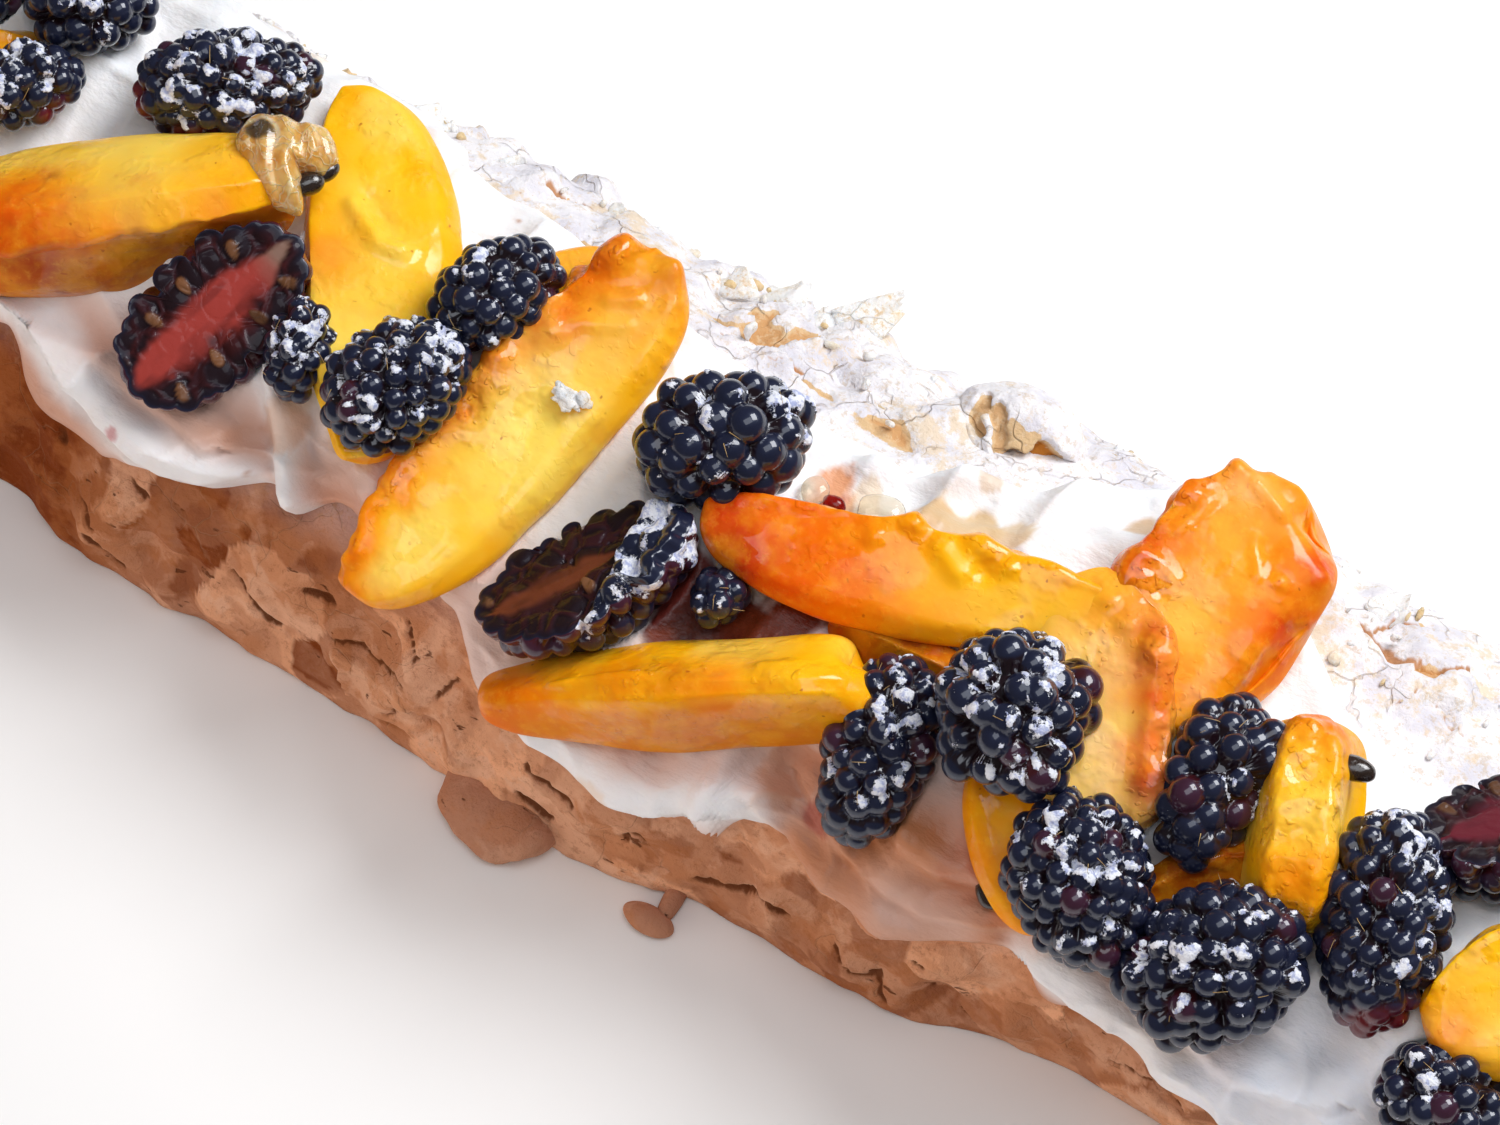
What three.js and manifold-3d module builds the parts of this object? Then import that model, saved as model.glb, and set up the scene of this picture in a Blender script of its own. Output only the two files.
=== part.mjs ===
// A long pavlova: a log of dusted, flaky meringue with a band of whipped cream along its top, laid
// with peach slices, dark bramble berries and passion-fruit pulp.
// Millimetres, +Z up. X runs along the log, -Y is its near side, the origin is the middle of its flat
// underside.
import * as THREE from 'three';
import { mergeVertices } from 'three/addons/utils/BufferGeometryUtils.js';
import Module from 'manifold-3d';

const wasm = await Module();
wasm.setup();

// ---- driving dimensions -------------------------------------------------------------------------
const LOG = { halfLength: 165, height: 38, stations: 46, wallSteps: 16, soleSteps: 2 };
const SECTION = { sideways: 2.6, upward: 2.2, endSharpness: 8, endRound: 1 / 3, endDroop: 0.6 };
// Crags of the crust: their height, and how far from the cream they begin and are at full height.
const RELIEF = { height: 1.3, along: 6, degrees: 5, ramp: 12 };
const CREAM = {
  halfLength: 152, endRound: 18, midAngle: 100, gap: 1.1, rim: 0.7,
  lip: 3.6, crown: 4.4, lipReach: 5, crownReach: 22, fold: 0.9, stations: 33, outerSteps: 9, innerSteps: 7,
};
const CLEARANCE = 0.4;
const WALL_RADIUS = 40;
// A flake of crust is a plate, its foot sunk in the crust.
const FLAKE = { thickness: 1.8, sunk: 3 };
// A halved berry is cut a little above its middle. The dents lie between its druplets.
const BERRY = { cutLift: 1.5, bluntness: 0.1, dent: 0.93, smallDent: 0.8, smallWidth: 12 };
// How fast a peach slice comes in toward its tips, as powers of its fullness there.
const SLICE = { stoneTaper: 1.3, skinTaper: 0.85, thicknessTaper: 0.6, longHalf: 20, longStations: 8, shortStations: 4 };
const FLOOR_CUTTER = { length: 400, width: 200, height: 20 };
const BERRY_CUTTER = 60;
const COLOURS = {
  meringue: 0xe8ddd2, cream: 0xf6f1ee, berry: 0x15131c, peach: 0xf5a92a, pulp: 0xb9822c,
};

// Half-width of the foot of the log on its near and far side, at places along it.
const NEAR_FOOT = [[-165, 38], [-108, 38.5], [-86, 42.5], [-57, 42], [-24, 44.5], [4, 46], [19, 42.5],
  [48, 43.2], [70, 38], [80, 37], [94, 38.5], [165, 38]];
const FAR_FOOT = [[-165, 45], [-112, 46], [-95, 43.5], [-50, 45.3], [-30, 44.3], [5, 45.5], [38, 48.5],
  [55, 47.5], [78, 49.5], [165, 47]];
// Where the cream ends on each side: an angle in degrees round the section, 0 at the far foot, 180 at
// the near foot.
const CREAM_FAR = [[-150, 62], [-136, 56], [-100, 30], [-85, 30], [-70, 48], [-62, 62], [-38, 64],
  [-18, 70], [20, 76], [27, 69], [46, 49], [54, 46], [79, 68], [92, 77], [104, 82], [116, 78], [150, 68]];
const CREAM_NEAR = [[-150, 120], [-110, 130], [-98, 140], [-78, 140], [-52, 124], [-38, 127], [-29, 132],
  [-12, 146], [6, 150], [18, 148], [28, 140], [40, 148], [52, 150], [66, 146], [84, 152], [96, 156],
  [118, 152], [150, 128]];

// Flakes of crust that stand on the far shoulder: place along the log, angle round the section,
// width, height, heading of the flake's face and lean, in millimetres and degrees.
const FLAKES = [
  { x: -76, angle: 40, width: 14, height: 6, turn: -10, lean: 35 },
  { x: -60, angle: 42, width: 12, height: 9, turn: 5, lean: 20 },
  { x: -46, angle: 36, width: 10, height: 5, turn: 35, lean: 40 },
  { x: -21, angle: 50, width: 11, height: 7, turn: 60, lean: 15 },
  { x: -12, angle: 46, width: 14, height: 8, turn: -25, lean: 20 },
  { x: -7, angle: 38, width: 10, height: 6, turn: 15, lean: 30 },
  { x: -1, angle: 37, width: 7, height: 12, turn: -35, lean: 5 },
  { x: 60, angle: 38, width: 11, height: 5, turn: 30, lean: 40 },
  { x: 87, angle: 43, width: 9, height: 8, turn: -15, lean: 10 },
  { x: 109, angle: 47, width: 13, height: 5, turn: 40, lean: 45 },
  { x: 132, angle: 40, width: 12, height: 6, turn: -30, lean: 30 },
];
// A blister of crust with its near side broken open.
const BLISTER = { x: 27, y: 34, z: 27, length: 11, width: 9, height: 9 };
const BLISTER_HOLE = { x: 31, y: 27, z: 35, length: 6, width: 4, height: 4 };
// A dribble of meringue that baked onto the tray at the near foot, and a crumb beside it.
const DRIBBLE = { x: -13, y: -46, z: 2.5, length: 9.5, width: 8, height: 4.5 };
const CRUMB_STALK = { x: 16, y: -45, z: 1, length: 1.6, width: 5, height: 2 };
const CRUMB_HEAD = { x: 14.5, y: -49.5, z: 1, length: 4, width: 2, height: 1.8 };

// Berries, from stem end to tip, in order from the top of the heap down. A halved one has the
// direction of its cut face, in degrees round its length from level (0) to upward (90).
const BERRIES = [
  { name: 'dark_berry_11', from: [45, -9, 60], to: [64, -24, 55], width: 21 },
  { name: 'dark_berry_13', from: [64, -22, 53], to: [82, -37, 41], width: 21 },
  { name: 'dark_berry_03', from: [-106, 4, 55], to: [-85, 22, 52], width: 17 },
  { name: 'dark_berry_01', from: [-128, 8, 54], to: [-113, 23, 52], width: 17 },
  { name: 'dark_berry_02', from: [-130, -9, 52], to: [-114, 4, 54], width: 13 },
  { name: 'dark_berry_04', from: [-83, -33, 43], to: [-72, -3, 55], width: 21, cut: 72 },
  { name: 'dark_berry_05', from: [-66, -10, 53], to: [-61, -24, 47], width: 10 },
  { name: 'dark_berry_06', from: [-47, -6, 55], to: [-39, 14, 53], width: 16 },
  { name: 'dark_berry_07', from: [-52, -26, 51], to: [-43, -5, 55], width: 18 },
  { name: 'dark_berry_08', from: [-12, -9, 55], to: [8, 9, 55], width: 21 },
  { name: 'dark_berry_09', from: [-20, -38, 42], to: [1, -12, 53], width: 21, cut: 100 },
  { name: 'dark_berry_10', from: [5, -22, 48], to: [11, -15, 49], width: 9 },
  { name: 'dark_berry_15', from: [86, -39, 38], to: [103, -21, 53], width: 23 },
  { name: 'dark_berry_16', from: [106, 0, 55], to: [117, -29, 46], width: 19 },
  { name: 'dark_berry_12', from: [35, -13, 52], to: [41, -39, 39], width: 17 },
  { name: 'dark_berry_14', from: [80, 4, 54], to: [84, -22, 50], width: 16 },
  { name: 'dark_berry_17', from: [112, -4, 54], to: [129, 16, 52], width: 21, cut: 120 },
  { name: 'dark_berry_18', from: [120, -31, 43], to: [140, -29, 40], width: 17 },
  { name: 'dark_berry_19', from: [-148, 4, 46], to: [-134, 18, 49], width: 17 },
  { name: 'dark_berry_20', from: [-148, -19, 41], to: [-136, -31, 37], width: 17 },
  { name: 'dark_berry_21', from: [136, 12, 50], to: [148, -4, 47], width: 18 },
];

// Peach slices between their two tips. Round the line of the tips, roll is the direction of the
// skin: 0 level to the right from the first tip, 90 up. Skin and stone are how far the slice reaches
// to each side of that line, rim and back its thickness at the stone edge and under the skin.
const SLICES = [
  { name: 'peach_slice_03', from: [-41, -41, 38], to: [-27, 22, 54], roll: -18, skin: 14, stone: 7, rim: 5, back: 12 },
  { name: 'peach_slice_01', from: [-130, -31, 45], to: [-77, 3, 57], roll: -122, skin: 11, stone: 10, rim: 5, back: 27 },
  { name: 'peach_slice_02', from: [-82, 24, 49], to: [-49, -27, 47], roll: -163, skin: 17, stone: 6, rim: 4, back: 11 },
  { name: 'peach_slice_06', from: [0, -9, 53], to: [57, 6, 55], roll: -25, skin: 12, stone: 4, rim: 5, back: 10 },
  { name: 'peach_slice_05', from: [-16, -45, 36], to: [35, -18, 52], roll: -112, skin: 9, stone: 9, rim: 5, back: 22 },
  { name: 'peach_slice_07', from: [54, 10, 56], to: [75, -24, 47], roll: -12, skin: 13, stone: 9, rim: 5, back: 9 },
  { name: 'peach_slice_08', from: [70, -5, 50], to: [68, 35, 55], roll: -12, skin: 14, stone: 13, rim: 6, back: 12 },
  { name: 'peach_slice_10', from: [90, 5, 56], to: [101, -22, 50], roll: -95, skin: 11, stone: 7, rim: 8, back: 22 },
  { name: 'peach_slice_11', from: [122, -23, 48], to: [149, 3, 50], roll: -25, skin: 13, stone: 10, rim: 5, back: 11 },
  { name: 'peach_slice_12', from: [-152, -10, 44], to: [-125, 6, 49], roll: -100, skin: 8, stone: 6, rim: 4, back: 13 },
  { name: 'peach_slice_09', from: [53, -19, 46], to: [71, -35, 38], roll: -25, skin: 7, stone: 7, rim: 4, back: 9 },
  { name: 'peach_slice_04', from: [-42, 1, 50], to: [-31, 20, 47], roll: -160, skin: 8, stone: 4, rim: 4, back: 8 },
  { name: 'peach_slice_13', from: [80, -28, 44], to: [92, -13, 48], roll: -60, skin: 6, stone: 4, rim: 4, back: 8 },
  { name: 'peach_slice_14', from: [23, -13, 47], to: [50, -11, 47], roll: -80, skin: 5, stone: 4, rim: 4, back: 9 },
];
const PULP = { name: 'passionfruit_pulp', from: [-84, 3, 60], to: [-72, 9, 57], width: 9, bulge: 3 };
// Seeds and a bead of clear pulp that lie on a slice and, at an angle round the section, on the cream.
const SLICE_SEED = { x: 98, y: 1, z: 55, length: 3.4, width: 2.4, height: 2.2 };
const CREAM_SEED = { x: 61, angle: 142, length: 2.6, width: 1.8, height: 1.6 };
const CREAM_BEAD = { x: 21.5, angle: 88, length: 4.6, width: 3.6, height: 2.6 };

// ---- small maths --------------------------------------------------------------------------------
const radians = THREE.MathUtils.degToRad;
const smooth = (t) => THREE.MathUtils.smoothstep(t, 0, 1);

// The smooth line through [place, value] points, level at each of them.
function lineThrough(points) {
  return (x) => {
    let i = 1;
    while (i < points.length - 1 && x > points[i][0]) i += 1;
    const [x0, y0] = points[i - 1];
    const [x1, y1] = points[i];
    return y0 + (y1 - y0) * smooth((x - x0) / (x1 - x0));
  };
}
const nearFoot = lineThrough(NEAR_FOOT);
const farFoot = lineThrough(FAR_FOOT);
const creamFar = lineThrough(CREAM_FAR);
const creamNear = lineThrough(CREAM_NEAR);

// ---- closed surfaces and booleans ---------------------------------------------------------------
// A closed surface from rings of points, each end drawn to one pole.
function closedSurface(firstPole, rings, lastPole) {
  const points = [firstPole, ...rings.flat(), lastPole];
  const around = rings[0].length;
  const last = points.length - 1;
  const faces = [];
  for (let k = 0; k < around; k += 1) {
    const next = (k + 1) % around;
    faces.push(0, 1 + next, 1 + k);
    for (let i = 0; i + 1 < rings.length; i += 1) {
      const a = 1 + i * around;
      const b = a + around;
      faces.push(a + k, a + next, b + next, a + k, b + next, b + k);
    }
    const rim = 1 + (rings.length - 1) * around;
    faces.push(last, rim + k, rim + next);
  }
  const geometry = new THREE.BufferGeometry();
  geometry.setAttribute('position', new THREE.Float32BufferAttribute(points.flatMap((p) => [p.x, p.y, p.z]), 3));
  geometry.setIndex(faces);
  return geometry;
}

function volumeOf(geometry) {
  const position = geometry.getAttribute('position');
  const index = geometry.getIndex().array;
  const corner = (i) => new THREE.Vector3().fromBufferAttribute(position, index[i]);
  let sum = 0;
  for (let i = 0; i < index.length; i += 3) {
    sum += corner(i).dot(corner(i + 1).cross(corner(i + 2)));
  }
  return sum / 6;
}

// A manifold solid of a closed geometry, its faces turned outward.
function solidOf(geometry) {
  const bare = geometry.clone();
  bare.deleteAttribute('normal');
  bare.deleteAttribute('uv');
  const merged = mergeVertices(bare, 1e-4);
  const triangles = new Uint32Array(merged.getIndex().array);
  if (volumeOf(merged) < 0) triangles.reverse();
  return new wasm.Manifold(new wasm.Mesh({
    numProp: 3, vertProperties: new Float32Array(merged.getAttribute('position').array), triVerts: triangles,
  }));
}

// The same geometry with every vertex moved out along its normal.
function grown(geometry, distance) {
  const bare = geometry.clone();
  bare.deleteAttribute('normal');
  bare.deleteAttribute('uv');
  const merged = mergeVertices(bare, 1e-4);
  const outward = volumeOf(merged) < 0 ? -distance : distance;
  merged.computeVertexNormals();
  const position = merged.getAttribute('position');
  const normal = merged.getAttribute('normal');
  for (let i = 0; i < position.count; i += 1) {
    position.setXYZ(i, position.getX(i) + outward * normal.getX(i), position.getY(i) + outward * normal.getY(i),
      position.getZ(i) + outward * normal.getZ(i));
  }
  return merged;
}

const largestPiece = (solid) => solid.decompose().reduce((a, b) => (a.volume() > b.volume() ? a : b));

function meshOf(solid, name, colour, roughness) {
  const { vertProperties, triVerts } = solid.getMesh();
  const geometry = new THREE.BufferGeometry();
  geometry.setAttribute('position', new THREE.BufferAttribute(new Float32Array(vertProperties), 3));
  geometry.setIndex(new THREE.BufferAttribute(new Uint32Array(triVerts), 1));
  geometry.computeVertexNormals();
  const mesh = new THREE.Mesh(geometry, new THREE.MeshStandardMaterial({ color: colour, roughness, metalness: 0 }));
  mesh.name = name;
  return mesh;
}

function ellipsoid({ x, y, z, length, width, height }, around = 12, down = 8) {
  return new THREE.SphereGeometry(1, around, down).rotateX(Math.PI / 2).scale(length, width, height).translate(x, y, z);
}

// ---- the meringue log ---------------------------------------------------------------------------
const endTaper = (x) => Math.max(0, 1 - Math.abs(x / LOG.halfLength) ** SECTION.endSharpness) ** SECTION.endRound;

// A point of the smooth log: angle 0 is the far foot, PI the near foot, on a superellipse section.
function logPoint(x, angle) {
  const across = Math.cos(angle);
  const foot = across > 0 ? farFoot(x) : nearFoot(x);
  const y = Math.sign(across) * foot * endTaper(x) * Math.abs(across) ** (2 / SECTION.sideways);
  const rise = Math.abs(Math.sin(angle)) ** (2 / SECTION.upward);
  return new THREE.Vector3(x, y, LOG.height * endTaper(x) ** SECTION.endDroop * rise);
}

const outwardAt = (x, angle) => new THREE.Vector3(0, Math.cos(angle), Math.sin(angle));

// Lumps and crags of the crust, in millimetres outward: three crossed waves, gone under the cream
// and at the foot.
function relief(x, angle) {
  const waves = Math.sin(0.17 * x + 2.1 * Math.sin(2.3 * angle)) * Math.sin(3.7 * angle + 0.06 * x)
    + 0.7 * Math.sin(0.39 * x - 2 * angle) * Math.sin(6.1 * angle + 1.7 + 0.1 * x)
    + 0.5 * Math.sin(0.71 * x + 1.3) * Math.sin(4.9 * angle + 0.4 - 0.13 * x);
  const degrees = THREE.MathUtils.radToDeg(angle);
  const steps = [-RELIEF.along, 0, RELIEF.along];
  const beyond = (edge, side) => Math.min(...steps.map((step) => side * (degrees - edge(x + step))));
  const bare = smooth((Math.max(beyond(creamFar, -1), beyond(creamNear, 1)) - RELIEF.degrees) / RELIEF.ramp);
  return RELIEF.height * waves * bare * smooth(Math.sin(angle) * 5);
}

function logSurface() {
  const rings = [];
  for (let i = 1; i < LOG.stations; i += 1) {
    const t = (2 * i) / LOG.stations - 1;
    const x = LOG.halfLength * (t + 0.28 * t * (1 - t * t));
    const ring = [];
    for (let k = 0; k <= LOG.wallSteps; k += 1) {
      const angle = (Math.PI * k) / LOG.wallSteps;
      ring.push(logPoint(x, angle).addScaledVector(outwardAt(x, angle), relief(x, angle)));
    }
    for (let k = 1; k < LOG.soleSteps; k += 1) {
      const y = -nearFoot(x) + ((nearFoot(x) + farFoot(x)) * k) / LOG.soleSteps;
      ring.push(new THREE.Vector3(x, y * endTaper(x), 0));
    }
    rings.push(ring);
  }
  const pole = (x) => new THREE.Vector3(x, 0, 0);
  return closedSurface(pole(-LOG.halfLength), rings, pole(LOG.halfLength));
}

// A thin ragged flake: a six-cornered plate standing on the crust, its foot sunk in it.
function flake({ x, angle, width, height, turn, lean }, number) {
  const ragged = (k) => 0.75 + 0.25 * Math.sin(number * 2.4 + k * 1.9);
  const outline = new THREE.Shape([
    new THREE.Vector2(-width / 2, -FLAKE.sunk), new THREE.Vector2(width / 2, -FLAKE.sunk),
    new THREE.Vector2((width / 2) * ragged(1), height * 0.45 * ragged(2)),
    new THREE.Vector2(width * 0.16 * ragged(3), height * 0.85),
    new THREE.Vector2(-width * 0.08, height),
    new THREE.Vector2((-width / 2) * ragged(4), height * 0.5 * ragged(5)),
  ]);
  const plate = new THREE.ExtrudeGeometry(outline, { depth: FLAKE.thickness, bevelEnabled: false });
  plate.translate(0, 0, -FLAKE.thickness / 2);
  const at = logPoint(x, radians(angle));
  return plate.rotateX(radians(90 - lean)).rotateZ(radians(turn)).translate(at.x, at.y, at.z);
}

function meringueBase() {
  const { length, width, height } = FLOOR_CUTTER;
  const belowFloor = new THREE.BoxGeometry(length, width, height).translate(0, 0, -height / 2);
  let body = solidOf(logSurface());
  FLAKES.forEach((one, number) => { body = body.add(solidOf(flake(one, number))); });
  body = body.add(solidOf(ellipsoid(BLISTER))).subtract(solidOf(ellipsoid(BLISTER_HOLE)));
  [DRIBBLE, CRUMB_STALK, CRUMB_HEAD].forEach((one) => { body = body.add(solidOf(ellipsoid(one, 10, 6))); });
  return largestPiece(body.subtract(solidOf(belowFloor)));
}

// ---- the whipped cream --------------------------------------------------------------------------
// The two edge angles of the cream at a place along it, drawn together at its rounded ends.
function creamEdges(x) {
  const past = Math.max(0, Math.abs(x) - (CREAM.halfLength - CREAM.endRound)) / CREAM.endRound;
  const open = Math.sqrt(Math.max(0, 1 - past * past));
  const drawn = (angle) => radians(CREAM.midAngle + (angle - CREAM.midAngle) * open);
  return [drawn(creamFar(x)), drawn(creamNear(x))];
}

// Thickness of the cream: a round lip at its edge, fuller toward the crown, with soft folds.
function creamDepth(x, angle, far, near) {
  const inside = Math.max(0, Math.min(angle - far, near - angle)) * WALL_RADIUS;
  const lip = Math.sqrt(1 - (1 - Math.min(1, inside / CREAM.lipReach)) ** 2);
  const folds = Math.sin(0.19 * x + 4.5 * angle + 1.4 * Math.sin(0.08 * x)) + 0.6 * Math.sin(0.43 * x - 3.1 * angle);
  return CREAM.rim + lip * (CREAM.lip + CREAM.crown * smooth(inside / CREAM.crownReach) + CREAM.fold * folds);
}

const offset = (x, angle, out) => logPoint(x, angle).addScaledVector(outwardAt(x, angle), out);
const creamPoint = (x, angle) => offset(x, angle, CREAM.gap + creamDepth(x, angle, ...creamEdges(x)));

function creamSurface() {
  const rings = [];
  for (let i = 1; i < CREAM.stations; i += 1) {
    const t = (2 * i) / CREAM.stations - 1;
    const x = CREAM.halfLength * (t + 0.2 * t * (1 - t * t));
    const [far, near] = creamEdges(x);
    const ring = [];
    for (let k = 0; k <= CREAM.outerSteps; k += 1) {
      const angle = far + ((near - far) * (1 - Math.cos((Math.PI * k) / CREAM.outerSteps))) / 2;
      ring.push(creamPoint(x, angle));
    }
    for (let k = 0; k <= CREAM.innerSteps; k += 1) {
      ring.push(offset(x, near + ((far - near) * k) / CREAM.innerSteps, CREAM.gap));
    }
    rings.push(ring);
  }
  const middle = radians(CREAM.midAngle);
  const pole = (x) => offset(x, middle, CREAM.gap + CREAM.rim / 2);
  return closedSurface(pole(-CREAM.halfLength), rings, pole(CREAM.halfLength));
}

// ---- fruit --------------------------------------------------------------------------------------
// Turns a geometry modelled along +X with its second axis on +Y to lie between two points, rolled so
// that +Y looks in the given direction: 0 level to the right of the line, 90 up.
function layBetween(geometry, from, to, roll) {
  const start = new THREE.Vector3(...from);
  const end = new THREE.Vector3(...to);
  const along = end.clone().sub(start).normalize();
  const right = along.clone().cross(new THREE.Vector3(0, 0, 1)).normalize();
  const above = right.clone().cross(along);
  const second = right.multiplyScalar(Math.cos(radians(roll))).addScaledVector(above, Math.sin(radians(roll)));
  const third = along.clone().cross(second);
  const place = new THREE.Matrix4().makeBasis(along, second, third);
  place.setPosition(start.add(end).multiplyScalar(0.5));
  return geometry.applyMatrix4(place);
}

const lengthOf = ({ from, to }) => new THREE.Vector3(...from).distanceTo(new THREE.Vector3(...to));

// The plain egg of a berry, blunt at its stem end, its corners where the crowns of the druplets are.
function berryEgg({ from, to, width }) {
  const detail = width < BERRY.smallWidth ? 0 : 1;
  const ball = new THREE.IcosahedronGeometry(1, detail).deleteAttribute('uv').deleteAttribute('normal');
  const egg = mergeVertices(ball, 1e-4);
  const corners = egg.getAttribute('position');
  for (let i = 0; i < corners.count; i += 1) {
    const blunt = (1 - BERRY.bluntness * corners.getX(i)) * (width / 2);
    const along = (corners.getX(i) * lengthOf({ from, to })) / 2;
    corners.setXYZ(i, along, corners.getY(i) * blunt, corners.getZ(i) * blunt);
  }
  return egg;
}

// The knobbly berry: its egg with a dent at the middle of every face, between three druplets.
function berryBody(one) {
  const dent = one.width < BERRY.smallWidth ? BERRY.smallDent : BERRY.dent;
  const egg = berryEgg(one);
  const points = Array.from(egg.getAttribute('position').array);
  const index = egg.getIndex().array;
  const faces = [];
  for (let i = 0; i < index.length; i += 3) {
    const [a, b, c] = [index[i], index[i + 1], index[i + 2]];
    const middle = points.length / 3;
    for (let k = 0; k < 3; k += 1) {
      points.push((dent * (points[3 * a + k] + points[3 * b + k] + points[3 * c + k])) / 3);
    }
    faces.push(a, b, middle, b, c, middle, c, a, middle);
  }
  const geometry = new THREE.BufferGeometry();
  geometry.setAttribute('position', new THREE.Float32BufferAttribute(points, 3));
  geometry.setIndex(faces);
  return geometry;
}

function berry(one) {
  const roll = one.cut ?? 90;
  const body = solidOf(layBetween(berryBody(one), one.from, one.to, roll));
  const hollow = solidOf(layBetween(grown(berryEgg(one), CLEARANCE), one.from, one.to, roll));
  if (one.cut === undefined) return { name: one.name, body, hollow };
  const above = (lift) => {
    const block = new THREE.BoxGeometry(BERRY_CUTTER, BERRY_CUTTER, BERRY_CUTTER);
    return solidOf(layBetween(block.translate(0, BERRY_CUTTER / 2 + lift, 0), one.from, one.to, roll));
  };
  return {
    name: one.name,
    body: body.subtract(above(BERRY.cutLift)),
    hollow: hollow.subtract(above(BERRY.cutLift + CLEARANCE)),
  };
}

// A peach slice modelled along X: at each station a section with a stone edge on -Y, a curved skin
// on +Y and two flat cut faces, all drawn in toward the tips.
const SLICE_SECTION = [[0, -1], [0.8, -1], [1, -0.45], [1, 0.45], [0.8, 1], [0, 1]];
function slice(one) {
  const half = lengthOf(one) / 2;
  const stations = half > SLICE.longHalf ? SLICE.longStations : SLICE.shortStations;
  const rings = [];
  for (let i = 1; i < stations; i += 1) {
    const t = -Math.cos((Math.PI * i) / stations);
    const full = Math.sqrt(1 - t * t);
    const stoneEdge = -one.stone * full ** SLICE.stoneTaper;
    const skinEdge = one.skin * full ** SLICE.skinTaper;
    rings.push(SLICE_SECTION.map(([across, side]) => {
      const thickness = (one.rim + (one.back - one.rim) * across) * full ** SLICE.thicknessTaper;
      return new THREE.Vector3(t * half, stoneEdge + (skinEdge - stoneEdge) * across, (side * thickness) / 2);
    }));
  }
  const pole = (x) => new THREE.Vector3(x, 0, 0);
  const geometry = layBetween(closedSurface(pole(-half), rings, pole(half)), one.from, one.to, one.roll);
  return { name: one.name, body: solidOf(geometry), hollow: solidOf(grown(geometry, CLEARANCE)) };
}

// A blob of pulp, bulging past both of its points.
function pulp(one) {
  const length = lengthOf(one) / 2 + one.bulge;
  const size = { x: 0, y: 0, z: 0, length, width: one.width / 2, height: one.width / 2 };
  const geometry = layBetween(ellipsoid(size, 10, 6), one.from, one.to, 90);
  return { name: one.name, body: solidOf(geometry), hollow: solidOf(grown(geometry, CLEARANCE)) };
}

const overlaps = (a, b) => [0, 1, 2].every((k) => a.min[k] < b.max[k] && b.min[k] < a.max[k]);

// Presses the hollows of those already placed out of a solid, and keeps its one main piece.
function pressed(solid, placed) {
  const box = solid.boundingBox();
  const touching = placed.filter((other) => overlaps(box, other.hollow.boundingBox()));
  return largestPiece(touching.reduce((left, other) => left.subtract(other.hollow), solid));
}

// ---- the whole ----------------------------------------------------------------------------------
// Each piece gives way to those placed before it, so the top of the heap is placed first.
const placed = [];
function place(item) {
  placed.push({ ...item, body: pressed(item.body, placed) });
}
BERRIES.slice(0, 2).forEach((one) => place(berry(one)));
place(pulp(PULP));
SLICES.slice(0, 2).forEach((one) => place(slice(one)));
BERRIES.slice(2).forEach((one) => place(berry(one)));
SLICES.slice(2).forEach((one) => place(slice(one)));

const pavlova = new THREE.Group();
pavlova.name = 'pavlova';
const base = meringueBase();
const seeded = placed.find((item) => item.name === 'peach_slice_10');
seeded.body = seeded.body.add(solidOf(ellipsoid(SLICE_SEED, 8, 5)));
const crags = [...FLAKES.map(flake), ellipsoid(BLISTER)].map((one) => ({ hollow: solidOf(grown(one, CLEARANCE)) }));
let cream = pressed(solidOf(creamSurface()), [...placed, ...crags]);
[CREAM_SEED, CREAM_BEAD].forEach((one) => {
  cream = cream.add(solidOf(ellipsoid({ ...one, ...creamPoint(one.x, radians(one.angle)) }, 8, 5)));
});

pavlova.add(meshOf(base, 'meringue_base', COLOURS.meringue, 0.85));
pavlova.add(meshOf(cream, 'whipped_cream', COLOURS.cream, 0.45));
placed.forEach((item) => {
  const look = item.name.startsWith('dark_berry') ? [COLOURS.berry, 0.25]
    : item.name.startsWith('peach') ? [COLOURS.peach, 0.3] : [COLOURS.pulp, 0.15];
  pavlova.add(meshOf(item.body, item.name, ...look));
});

export default pavlova;
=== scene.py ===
import math

import bpy
import numpy as np
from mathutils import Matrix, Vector


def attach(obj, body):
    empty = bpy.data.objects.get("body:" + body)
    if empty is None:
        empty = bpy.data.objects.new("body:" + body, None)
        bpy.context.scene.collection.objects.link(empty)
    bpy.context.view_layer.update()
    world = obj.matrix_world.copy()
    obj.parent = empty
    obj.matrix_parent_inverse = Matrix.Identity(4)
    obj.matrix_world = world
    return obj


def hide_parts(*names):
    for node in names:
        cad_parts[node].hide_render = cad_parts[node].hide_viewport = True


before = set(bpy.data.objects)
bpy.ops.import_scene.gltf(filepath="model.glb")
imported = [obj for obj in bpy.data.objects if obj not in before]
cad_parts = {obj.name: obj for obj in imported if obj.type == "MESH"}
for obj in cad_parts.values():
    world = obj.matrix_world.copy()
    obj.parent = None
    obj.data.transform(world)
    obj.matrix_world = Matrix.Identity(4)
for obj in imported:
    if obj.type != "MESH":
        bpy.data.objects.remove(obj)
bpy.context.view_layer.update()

# A long pavlova: a log of dusted, flaky meringue with a band of whipped cream along its top, laid with
# peach slices, dark bramble berries and passion-fruit pulp. Shapes are worked out in millimetres and
# put into meshes in metres. X runs along the log, -Y is its near side, +Z is up.
MM = 0.001

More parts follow.
